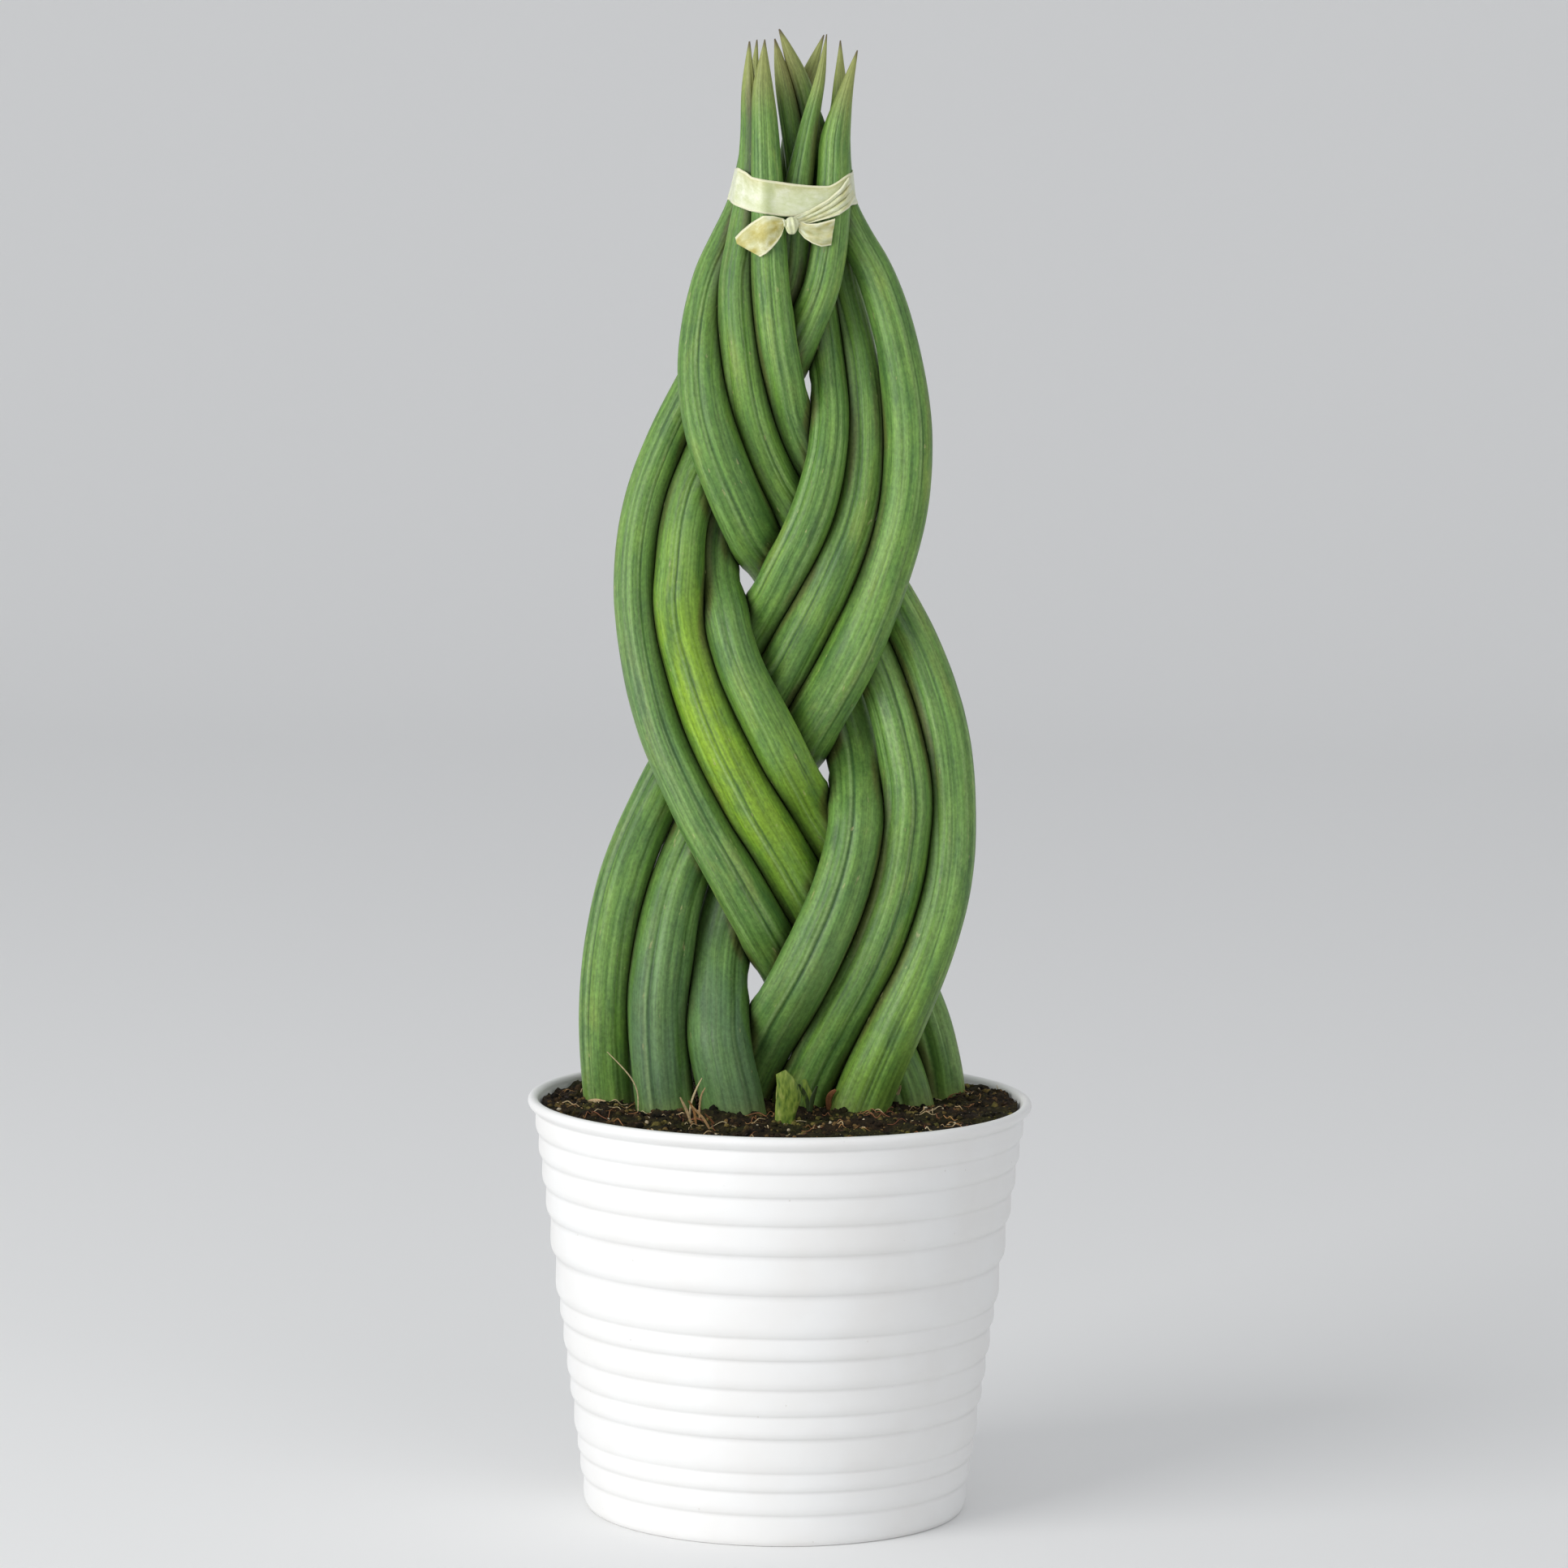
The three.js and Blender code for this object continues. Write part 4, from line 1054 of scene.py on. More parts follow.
def scatter_tree(material):
    """Geometry tree that strews lumpy bits over the soil's top: crumbs, chips or grains."""
    tree, group, out = new_tree(
        "strewn_bits",
        (
            ("Count", "NodeSocketInt", 100),
            ("Seed", "NodeSocketInt", 0),
            ("Reach", "NodeSocketFloat", 0.079),
            ("Least", "NodeSocketFloat", 0.0008),
            ("Most", "NodeSocketFloat", 0.003),
            ("Shape", "NodeSocketVector", (1.0, 1.0, 1.0)),
            ("Roughness", "NodeSocketFloat", 0.5),
        ),
    )
    take = group.outputs
    where = add_node(tree, "GeometryNodeInputPosition").outputs[0]
    flat = add_node(
        tree, "ShaderNodeVectorMath", {0: where, 1: (1.0, 1.0, 0.0)}, operation="MULTIPLY"
    ).outputs[0]
    away = add_node(tree, "ShaderNodeVectorMath", {0: flat}, operation="LENGTH").outputs["Value"]
    inside = add_node(
        tree, "FunctionNodeCompare", {0: away, 1: take["Reach"]}, operation="LESS_THAN"
    ).outputs[0]
    height = add_node(tree, "ShaderNodeSeparateXYZ", {0: where}).outputs["Z"]
    on_top = add_node(
        tree, "FunctionNodeCompare", {0: height, 1: STREWN_ABOVE * MM}, operation="GREATER_THAN"
    ).outputs[0]
    chosen = add_node(tree, "FunctionNodeBooleanMath", {0: inside, 1: on_top}, operation="AND").outputs[0]
    # The soil's top is close to a disc, so the density follows from the count and the reach
    area = add_node(tree, "ShaderNodeMath", {0: take["Reach"], 1: 2.0}, operation="POWER").outputs[0]
    disc = add_node(tree, "ShaderNodeMath", {0: area, 1: math.pi}, operation="MULTIPLY").outputs[0]
    density = add_node(tree, "ShaderNodeMath", {0: take["Count"], 1: disc}, operation="DIVIDE").outputs[0]
    points = add_node(
        tree,
        "GeometryNodeDistributePointsOnFaces",
        {"Mesh": take["Geometry"], "Selection": chosen, "Density": density, "Seed": take["Seed"]},
    ).outputs["Points"]
    # Each bit is a cube of 24 faces, rounded to a ball 1 across and then squashed to its shape
    block = add_node(
        tree,
        "GeometryNodeMeshCube",
        {"Size": (1.0, 1.0, 1.0), "Vertices X": 3, "Vertices Y": 3, "Vertices Z": 3},
    ).outputs["Mesh"]
    round_place = add_node(tree, "ShaderNodeVectorMath", {0: where}, operation="NORMALIZE").outputs[0]
    half = add_node(
        tree, "ShaderNodeVectorMath", {0: round_place, "Scale": 0.5}, operation="SCALE"
    ).outputs[0]
    ball = add_node(tree, "GeometryNodeSetPosition", {"Geometry": block, "Position": half}).outputs[0]
    spin = add_node(
        tree,
        "FunctionNodeRandomValue",
        {0: (-0.5, -0.5, 0.0), 1: (0.5, 0.5, TURN), "Seed": take["Seed"]},
        data_type="FLOAT_VECTOR",
    ).outputs[0]
    share = add_node(
        tree, "FunctionNodeRandomValue", {2: 0.0, 3: 1.0, "Seed": take["Seed"]}, data_type="FLOAT"
    ).outputs[1]
    # Small bits are far more common than large ones
    skewed = add_node(tree, "ShaderNodeMath", {0: share, 1: STREWN_SKEW}, operation="POWER").outputs[0]
    size = add_node(
        tree, "ShaderNodeMapRange", {"Value": skewed, "To Min": take["Least"], "To Max": take["Most"]}
    ).outputs["Result"]
    scale = add_node(
        tree, "ShaderNodeVectorMath", {0: take["Shape"], "Scale": size}, operation="SCALE"
    ).outputs[0]
    placed = add_node(
        tree,
        "GeometryNodeInstanceOnPoints",
        {"Points": points, "Instance": ball, "Rotation": spin, "Scale": scale},
    ).outputs[0]
    tint = add_node(
        tree, "FunctionNodeRandomValue", {2: TINT_LEAST, 3: TINT_MOST, "Seed": 3}, data_type="FLOAT"
    ).outputs[1]
    tinted = add_node(
        tree,
        "GeometryNodeStoreNamedAttribute",
        {"Geometry": placed, "Name": "tint", "Value": tint},
        data_type="FLOAT",
        domain="INSTANCE",
    ).outputs[0]
    loose = add_node(tree, "GeometryNodeRealizeInstances", {"Geometry": tinted}).outputs[0]
    lump = add_node(
        tree, "ShaderNodeTexNoise", {"Scale": 1 / (STREWN_DENTS * MM), "Detail": 2.0}
    ).outputs["Color"]
    centred = add_node(
        tree, "ShaderNodeVectorMath", {0: lump, 1: (0.5, 0.5, 0.5)}, operation="SUBTRACT"
    ).outputs[0]
    reach = add_node(
        tree, "ShaderNodeMath", {0: take["Most"], 1: take["Roughness"]}, operation="MULTIPLY"
    ).outputs[0]
    push = add_node(
        tree, "ShaderNodeVectorMath", {0: centred, "Scale": reach}, operation="SCALE"
    ).outputs[0]
    rough = add_node(tree, "GeometryNodeSetPosition", {"Geometry": loose, "Offset": push}).outputs[0]
    dressed = add_node(
        tree, "GeometryNodeSetMaterial", {"Geometry": rough, "Material": material}
    ).outputs[0]
    tree.links.new(dressed, out.inputs[0])
    return tree


def scatter(name, soil, material, values):
    """One kind of loose bit strewn over the soil's top, as one piece."""
    bits = bpy.data.objects.new(name, soil.data.copy())
    bits.data.attributes.remove(bits.data.attributes["tint"])
    bpy.context.scene.collection.objects.link(bits)
    grow(bits, scatter_tree(material), values)
    return finish_piece(bits, material)


def strew_litter(soil, settings):
    """Crumbs and clods of peat, chips of bark and grains of pumice."""
    for kind, (stuff, least, most, shape, roughness, step) in STREWN_BITS.items():
        material = material_litter(stuff) if stuff in LITTER else soil.data.materials[0]
        values = {
            "Count": getattr(settings, kind),
            "Seed": settings.seed + step,
            "Reach": STREWN_REACH * MM,
            "Least": least * MM,
            "Most": most * MM,
            "Shape": shape,
            "Roughness": roughness,
        }
        scatter("soil_" + kind, soil, material, values)


# Root threads, papery scraps and the shoot


def strand_tree(material):
    """Geometry tree that sweeps a round or flattened section along loose threads."""
    tree, group, out = new_tree(
        "swept_strand", (("Sides", "NodeSocketInt", 6), ("Flatness", "NodeSocketFloat", 1.0))
    )
    take = group.outputs
    thick = add_node(
        tree, "GeometryNodeInputNamedAttribute", {"Name": "thick"}, data_type="FLOAT"
    ).outputs["Attribute"]
    rail = add_node(tree, "GeometryNodeMeshToCurve", {"Mesh": take["Geometry"]}).outputs[0]
    rail = add_node(
        tree, "GeometryNodeCurveSplineType", {"Curve": rail}, spline_type="CATMULL_ROM"
    ).outputs[0]
    rail = add_node(tree, "GeometryNodeSetSplineResolution", {"Geometry": rail, "Resolution": 4}).outputs[0]
    rail = add_node(
        tree, "GeometryNodeSetCurveNormal", {"Curve": rail, "Normal": (0.0, -1.0, 0.0)}, mode="FREE"
    ).outputs[0]
    circle = add_node(
        tree,
        "GeometryNodeCurvePrimitiveCircle",
        {"Resolution": take["Sides"], "Radius": 1.0},
        mode="RADIUS",
    ).outputs["Curve"]
    where = add_node(tree, "GeometryNodeInputPosition").outputs[0]
    squash = add_node(
        tree, "ShaderNodeCombineXYZ", {"X": take["Flatness"], "Y": 1.0, "Z": 1.0}
    ).outputs[0]
    flat = add_node(tree, "ShaderNodeVectorMath", {0: where, 1: squash}, operation="MULTIPLY").outputs[0]
    circle = add_node(tree, "GeometryNodeSetPosition", {"Geometry": circle, "Position": flat}).outputs[0]
    body = add_node(
        tree,
        "GeometryNodeCurveToMesh",
        {"Curve": rail, "Profile Curve": circle, "Scale": thick, "Fill Caps": True},
    ).outputs[0]
    body = add_node(tree, "GeometryNodeRealizeInstances", {"Geometry": body}).outputs[0]
    body = add_node(tree, "GeometryNodeSetMaterial", {"Geometry": body, "Material": material}).outputs[0]
    tree.links.new(body, out.inputs[0])
    return tree


def strand_taper(share):
    """A strand's width along its length, as a share: full past its middle and fine at its two ends."""
    return 0.25 + 0.75 * math.sin(math.pi * (0.15 + 0.8 * share)) ** 0.7


def sweep_strands(name, strands, material, flatness=1.0, sides=6, replaces=()):
    """Sweeps many strands as one piece. Each is its points, its half width and its tint."""
    points = []
    edges = []
    thick = []
    tints = []
    for path, width, tint in strands:
        first = len(points)
        for i, point in enumerate(path):
            points.append(point)
            thick.append(width * MM * strand_taper(i / (len(path) - 1)))
            tints.append(tint)
        edges += [(first + i, first + i + 1) for i in range(len(path) - 1)]
    piece = new_piece(name, points, edges=edges)
    store(piece, "thick", thick)
    store(piece, "tint", tints)
    grow(piece, strand_tree(material), {"Sides": sides, "Flatness": flatness})
    return finish_piece(piece, material, replaces)


def view_axes():
    """The view's direction, its right and its up."""
    ahead = Vector((0, math.cos(CAMERA_PITCH), -math.sin(CAMERA_PITCH)))
    level = Vector((1, 0, 0))
    upright = level.cross(ahead)
    right = level * math.cos(CAMERA_ROLL) + upright * math.sin(CAMERA_ROLL)
    up = upright * math.cos(CAMERA_ROLL) - level * math.sin(CAMERA_ROLL)
    return ahead, right, up


def view_ray(across, down):
    """Where the view starts and the way it looks, in millimetres, through one place of the image."""
    ahead, right, up = view_axes()
    focal = IMAGE_SIZE * LENS / SENSOR
    middle = IMAGE_SIZE / 2
    way = ahead + right * ((across - middle) / focal) + up * ((middle - down) / focal)
    return Vector(CAMERA_PLACE) / MM, way


def seen_at(across, down, depth):
    """The point at one depth (y in millimetres) that the view shows at this place."""
    start, way = view_ray(across, down)
    return start + way * ((depth - start.y) / way.y)


def seen_on_soil(across, down, settings):
    """The point of the soil that the view shows at this place."""
    start, way = view_ray(across, down)
    point = start + way * ((settings.level / MM - start.z) / way.z)
    return Vector((point.x, point.y, soil_height(point.x, point.y, settings)))


def standing_strands(rows, settings):
    """Strands rooted in the soil, from rows of half width, tint, lean and places in the image."""
    strands = []
    for width, tint, lean, places in rows:
        root = seen_on_soil(*places[0], settings)
        path = [root - Vector((0, 0, ROOTED))]
        for i, place in enumerate(places[1:], 1):
            depth = root.y - lean * i / (len(places) - 1)
            path.append(seen_at(*place, depth))
        strands.append((path, width, tint))
    return strands


def lying_threads(count, settings):
    """Loose root threads that lie bent on the soil, drawn at random with a fixed seed."""
    chance = np.random.default_rng(settings.seed)
    strands = []
    for _ in range(count):
        away = THREAD_START * math.sqrt(chance.random())
        around = chance.random() * TURN
        heading = chance.random() * TURN
        length = THREAD_LENGTH[0] + THREAD_LENGTH[1] * chance.random()
        bend = chance.normal() * THREAD_BEND
        place = Vector((away * math.cos(around), away * math.sin(around), 0))
        path = []
        for i in range(THREAD_STEPS):
            arch = THREAD_ARCH if i == THREAD_STEPS // 2 else 0.0
            height = soil_height(place.x, place.y, settings) + THREAD_LIFT + arch
            path.append(Vector((place.x, place.y, height)))
            ahead = Vector((math.cos(heading), math.sin(heading), 0))
            place = place + ahead * length / (THREAD_STEPS - 1)
            heading += bend
        if all(math.hypot(point.x, point.y) < THREAD_LIMIT for point in path):
            width = THREAD_WIDTH[0] + THREAD_WIDTH[1] * chance.random()
            strands.append((path, width, chance.random()))
    return strands


def lay_roots(settings):
    """Root threads that stand or lie on the soil, and the papery scraps among them."""
    material = material_litter("dry_roots")
    threads = standing_strands(ROOT_STRANDS, settings) + lying_threads(settings.threads, settings)
    sweep_strands("soil_roots", threads, material)
    scraps = standing_strands(SHEATH_SCALES, settings)
    sweep_strands("soil_sheaths", scraps, material, flatness=SCRAP_FLATNESS, sides=10)


def build_shoot(settings):
    """The young shoot: a few short blades that stand in the hollow."""
    blades = standing_strands(SHOOT_BLADES, settings)
    material = material_shoot()
    sweep_strands(
        "shoot_blades", blades, material, flatness=BLADE_FLATNESS, sides=16, replaces=["shoot"]
    )


# The leaves


def leaf_tree(material):
    """Geometry tree that sweeps a grooved section along a leaf's line, its front kept to the front."""
    sockets = [
        ("Sides", "NodeSocketInt", 128),
        ("Steps", "NodeSocketInt", 5),
        ("Valley", "NodeSocketFloat", 0.05),
        ("Crease", "NodeSocketFloat", 0.03),
        ("Skin", "NodeSocketFloat", 0.0002),
        ("Ripple", "NodeSocketFloat", 0.0005),
    ]
    # A groove's place in turns is its x, and its depth is its y
    grooves = [f"Groove {number}" for number in range(1, 6)]
    sockets += [(name, "NodeSocketVector", (0.0, 0.0, 0.0)) for name in grooves]
    tree, group, out = new_tree("grooved_leaf", sockets)
    take = group.outputs
    radius = add_node(
        tree, "GeometryNodeInputNamedAttribute", {"Name": "ridge_radius"}, data_type="FLOAT"
    ).outputs["Attribute"]
    wide = add_node(tree, "ShaderNodeMath", {0: radius, 1: take["Skin"]}, operation="ADD").outputs[0]
    rail = add_node(tree, "GeometryNodeMeshToCurve", {"Mesh": take["Geometry"]}).outputs[0]
    rail = add_node(
        tree, "GeometryNodeCurveSplineType", {"Curve": rail}, spline_type="CATMULL_ROM"
    ).outputs[0]
    rail = add_node(
        tree, "GeometryNodeSetSplineResolution", {"Geometry": rail, "Resolution": take["Steps"]}
    ).outputs[0]
    rail = add_node(
        tree, "GeometryNodeSetCurveNormal", {"Curve": rail, "Normal": (0.0, -1.0, 0.0)}, mode="FREE"
    ).outputs[0]

    circle = add_node(
        tree,
        "GeometryNodeCurvePrimitiveCircle",
        {"Resolution": take["Sides"], "Radius": 1.0},
        mode="RADIUS",
    ).outputs["Curve"]
    count = add_node(tree, "GeometryNodeInputIndex").outputs[0]
    turn = add_node(tree, "ShaderNodeMath", {0: count, 1: take["Sides"]}, operation="DIVIDE").outputs[0]
    dip = 0.0
    line = 0.0
    rise = 0.0
    for name in grooves:
        parts = add_node(tree, "ShaderNodeSeparateXYZ", {"Vector": take[name]}).outputs
        apart = add_node(tree, "ShaderNodeMath", {0: turn, 1: parts["X"]}, operation="SUBTRACT").outputs[0]
        apart = add_node(tree, "ShaderNodeMath", {0: apart, 1: 0.5, 2: -0.5}, operation="WRAP").outputs[0]
        shapes = []
        # The valley round the groove, the groove itself, and the rise beside it
        for place, reach in ((0.0, VALLEY_REACH), (0.0, CREASE_REACH), (RISE_PLACE, RISE_REACH)):
            off = add_node(tree, "ShaderNodeMath", {0: apart, 1: place}, operation="SUBTRACT").outputs[0]
            near = add_node(tree, "ShaderNodeMath", {0: off}, operation="ABSOLUTE").outputs[0]
            bell = add_node(
                tree,
                "ShaderNodeMapRange",
                {"Value": near, "From Min": 0.0, "From Max": reach, "To Min": parts["Y"], "To Max": 0.0},
                interpolation_type="SMOOTHSTEP",
            ).outputs["Result"]
            shapes.append(bell)
        dip = add_node(
            tree, "ShaderNodeMath", {0: shapes[0], 1: take["Valley"], 2: dip}, operation="MULTIPLY_ADD"
        ).outputs[0]
        dip = add_node(
            tree, "ShaderNodeMath", {0: shapes[1], 1: take["Crease"], 2: dip}, operation="MULTIPLY_ADD"
        ).outputs[0]
        line = add_node(tree, "ShaderNodeMath", {0: line, 1: shapes[1]}, operation="MAXIMUM").outputs[0]
        rise = add_node(tree, "ShaderNodeMath", {0: rise, 1: shapes[2]}, operation="MAXIMUM").outputs[0]
    where = add_node(tree, "GeometryNodeInputPosition").outputs[0]
    # groove and lip mark where the leaf's material paints shade in the groove and a highlight on the rise
    # beside it
    section = circle
    for name, value, kind in (
        ("section", where, "FLOAT_VECTOR"),
        ("groove", line, "FLOAT"),
        ("lip", rise, "FLOAT"),
    ):
        section = add_node(
            tree,
            "GeometryNodeStoreNamedAttribute",
            {"Geometry": section, "Name": name, "Value": value},
            data_type=kind,
            domain="POINT",
        ).outputs[0]
    shrink = add_node(tree, "ShaderNodeMath", {0: 1.0, 1: dip}, operation="SUBTRACT").outputs[0]
    dipped = add_node(
        tree, "ShaderNodeVectorMath", {0: where, "Scale": shrink}, operation="SCALE"
    ).outputs[0]
    section = add_node(
        tree, "GeometryNodeSetPosition", {"Geometry": section, "Position": dipped}
    ).outputs[0]
    body = add_node(
        tree,
        "GeometryNodeCurveToMesh",
        {"Curve": rail, "Profile Curve": section, "Scale": wide, "Fill Caps": True},
    ).outputs[0]
    # skin is the surface laid out as a straight leaf, in metres, for patterns that follow the leaf
    round_it = add_node(
        tree, "GeometryNodeInputNamedAttribute", {"Name": "section"}, data_type="FLOAT_VECTOR"
    ).outputs["Attribute"]
    length = add_node(
        tree, "GeometryNodeInputNamedAttribute", {"Name": "along"}, data_type="FLOAT"
    ).outputs["Attribute"]
    spread = add_node(
        tree, "ShaderNodeVectorMath", {0: round_it, "Scale": PATTERN_RADIUS * MM}, operation="SCALE"
    ).outputs[0]
    lift = add_node(tree, "ShaderNodeCombineXYZ", {"Z": length}).outputs[0]
    laid = add_node(tree, "ShaderNodeVectorMath", {0: spread, 1: lift}, operation="ADD").outputs[0]
    body = add_node(
        tree,
        "GeometryNodeStoreNamedAttribute",
        {"Geometry": body, "Name": "skin", "Value": laid},
        data_type="FLOAT_VECTOR",
        domain="POINT",
    ).outputs[0]
    swell = add_node(
        tree, "ShaderNodeTexNoise", {"Vector": laid, "Scale": 1 / (RIPPLE_LENGTH * MM), "Detail": 2.0}
    ).outputs["Fac"]
    centred = add_node(tree, "ShaderNodeMath", {0: swell, 1: 0.5}, operation="SUBTRACT").outputs[0]
    amount = add_node(
        tree, "ShaderNodeMath", {0: centred, 1: take["Ripple"]}, operation="MULTIPLY"
    ).outputs[0]
    outward = add_node(tree, "GeometryNodeInputNormal").outputs[0]
    push = add_node(
        tree, "ShaderNodeVectorMath", {0: outward, "Scale": amount}, operation="SCALE"
    ).outputs[0]
    body = add_node(tree, "GeometryNodeSetPosition", {"Geometry": body, "Offset": push}).outputs[0]
    body = add_node(tree, "GeometryNodeRealizeInstances", {"Geometry": body}).outputs[0]
    body = add_node(tree, "GeometryNodeSetMaterial", {"Geometry": body, "Material": material}).outputs[0]
    tree.links.new(body, out.inputs[0])
    return tree


def share_at(height, amount, centre, spread):
    """A patch of colour along a leaf: most at its centre and fading above and below."""
    return amount * math.exp(-(((height - centre) / spread) ** 2))


def build_leaf(node, index, tree, settings):
    """One leaf, swept along the middle of its solid."""
    line = LEAF_LINES[node]
    middles = [middle for middle, _ in line]
    radii = [radius for _, radius in line]
    radii[0] = TIP_RADIUS
    piece = new_piece(node + "_skin", middles, edges=[(i, i + 1) for i in range(len(line) - 1)])
    along = np.cumsum([0.0] + [(b - a).length for a, b in zip(middles, middles[1:])]) * MM
    heights = [middle.z * MM for middle in middles]
    store(piece, "ridge_radius", np.array(radii) * MM)
    store(piece, "along", along + PATTERN_SHIFT * index)
    store(piece, "yellow", [share_at(height, *LEAF_TONES[node]) for height in heights])
    store(piece, "bloom", [share_at(height, *LEAF_BLOOMS[node]) for height in heights])
    strength, low, high = FOOT_FADE
    store(piece, "foot", [strength * (1 - smoothstep(low, high, height)) for height in heights])
    strength, low, high = TIP_FADE
    store(piece, "tip", [strength * (1 - smoothstep(low, high, length)) for length in along])
    values = {
        "Sides": settings.sides,
        "Steps": settings.steps,
        "Valley": settings.valley,
        "Crease": settings.crease,
        "Skin": settings.skin,
        "Ripple": settings.ripple,
    }
    places = [(-math.asin(across) / TURN, depth) for across, depth in LEAF_GROOVES[node]]
    for number, (place, depth) in enumerate((*places, *BACK_GROOVES), 1):
        values[f"Groove {number}"] = (place, depth, 0.0)
    return grow(piece, tree, values)


def leaf_rings(leaf, sides):
    """A leaf's points, and the middle, the radius and the direction of each of its rings."""
    points = np.empty(len(leaf.data.vertices) * 3, np.float32)
    leaf.data.vertices.foreach_get("co", points)
    points = points.reshape(-1, 3) / MM
    rings = points.reshape(-1, sides, 3)
    middles = rings.mean(axis=1)
    radii = np.linalg.norm(rings - middles[:, None], axis=2).max(axis=1)
    ways = np.gradient(middles, axis=0)
    ways /= np.linalg.norm(ways, axis=1, keepdims=True)
    return points, (middles, radii, ways)


def press_leaves(leaves, settings):
    """Swells each leaf until it meets its neighbours, and flattens it where they press.

    It also keeps how near they are, for the shade that is painted between them.
    """
    meet = settings.meet / MM
    shapes, lines = zip(*[leaf_rings(leaf, settings.sides) for leaf in leaves])
    for index, leaf in enumerate(leaves):
        others = [line for i, line in enumerate(lines) if i != index]
        middles, radii, ways = (np.concatenate([line[part] for line in others]) for part in range(3))
        points = shapes[index]
        gaps = np.empty(len(points), np.float32)
        toward = np.empty_like(points)
        for start in range(0, len(points), POINTS_AT_A_TIME):
            span = slice(start, start + POINTS_AT_A_TIME)
            block = points[span]
            squares = (block**2).sum(1)[:, None] - 2 * block @ middles.T + (middles**2).sum(1)[None]
            nearest = (np.sqrt(np.maximum(squares, 0)) - radii[None]).argmin(1)
            away = block - middles[nearest]
            slide = np.clip((away * ways[nearest]).sum(1), -RING_SLIDE, RING_SLIDE)
            away -= slide[:, None] * ways[nearest]
            length = np.linalg.norm(away, axis=1)
            gaps[span] = length - radii[nearest]
            toward[span] = -away / length[:, None]
        # Up to the gap that is closed, both leaves go half the way, and past it the swelling fades out
        fade = np.clip((3 * meet - gaps) / (2 * meet), 0, 1)
        push = np.where(gaps < meet, gaps / 2, meet / 2 * fade * fade * (3 - 2 * fade))
        moved = points + toward * np.clip(push, -DEEPEST_PRESS, meet / 2)[:, None]
        leaf.data.vertices.foreach_set("co", (moved * MM).ravel())
        # This nearness is what the leaf's material paints as shade in the crevices
        store(leaf, "crevice", np.exp(-np.maximum(gaps - TOUCHING, 0) / CREVICE_REACH))
        leaf.data.update()


# The ribbon


def thick_sheet(name, middle, thickness, closed=False):
    """A closed mesh from the middle surface of a sheet, given as rows of points in millimetres.

    A closed sheet's rows join their last point to their first.
    """
    rows, columns = middle.shape[:2]
    if closed:
        wrapped = np.concatenate([middle[:, -1:], middle, middle[:, :1]], axis=1)
        along = np.gradient(wrapped, axis=1)[:, 1:-1]
    else:
        along = np.gradient(middle, axis=1)
    normal = np.cross(along, np.gradient(middle, axis=0))
    normal /= np.linalg.norm(normal, axis=2, keepdims=True)
    half = normal * thickness / 2
    sheet = rows * columns
    points = np.concatenate([(middle + half).reshape(-1, 3), (middle - half).reshape(-1, 3)])
    faces = []
    for face in grid_faces(rows, columns, closed):
        faces.append(face)
        faces.append(tuple(sheet + i for i in reversed(face)))
    last = (rows - 1) * columns
    for column in range(columns if closed else columns - 1):
        after = (column + 1) % columns
        faces.append((after, column, sheet + column, sheet + after))
        faces.append((last + column, last + after, sheet + last + after, sheet + last + column))
    if not closed:
        for row in range(rows - 1):
            a, b = row * columns, (row + 1) * columns
            faces.append((a, b, sheet + b, sheet + a))
            a, b = a + columns - 1, b + columns - 1
            faces.append((b, a, sheet + a, sheet + b))
    return new_piece(name, points.tolist(), faces)


def dress_sheet(piece, middle, width, length, material, ochre, moss):
    """Lays out a sheet's weave, with its woven edges along its rows, and finishes it."""
    rows, columns = middle.shape[:2]
    across = np.repeat(np.linspace(0, width, rows), columns)
    along = np.tile(np.linspace(0, length, columns), rows)
    weave = np.stack([along, np.minimum(across, width - across), across], axis=1) * MM
    store(piece, "weave", np.concatenate([weave, weave]), "FLOAT_VECTOR")
    store(piece, "ochre", np.tile(ochre.ravel(), 2))
    store(piece, "moss", np.tile(moss.ravel(), 2))
    return finish_piece(piece, material, ["ribbon_tie"])


def band_loop(height, columns, room):
    """Points evenly spread along a ribbon drawn tight round the leaves at one height, from the back."""
    sections = leaf_sections(height)
    turns = [TURN * (0.25 + i / LOOP_STEPS) for i in range(LOOP_STEPS + 1)]
    points = np.array([bundle_edge(sections, turn, room)[:2] for turn in turns])
    lengths = np.concatenate([[0.0], np.cumsum(np.linalg.norm(np.diff(points, axis=0), axis=1))])
    places = np.linspace(0, lengths[-1], columns, endpoint=False)
    return np.stack([np.interp(places, lengths, points[:, part]) for part in (0, 1)], axis=1)


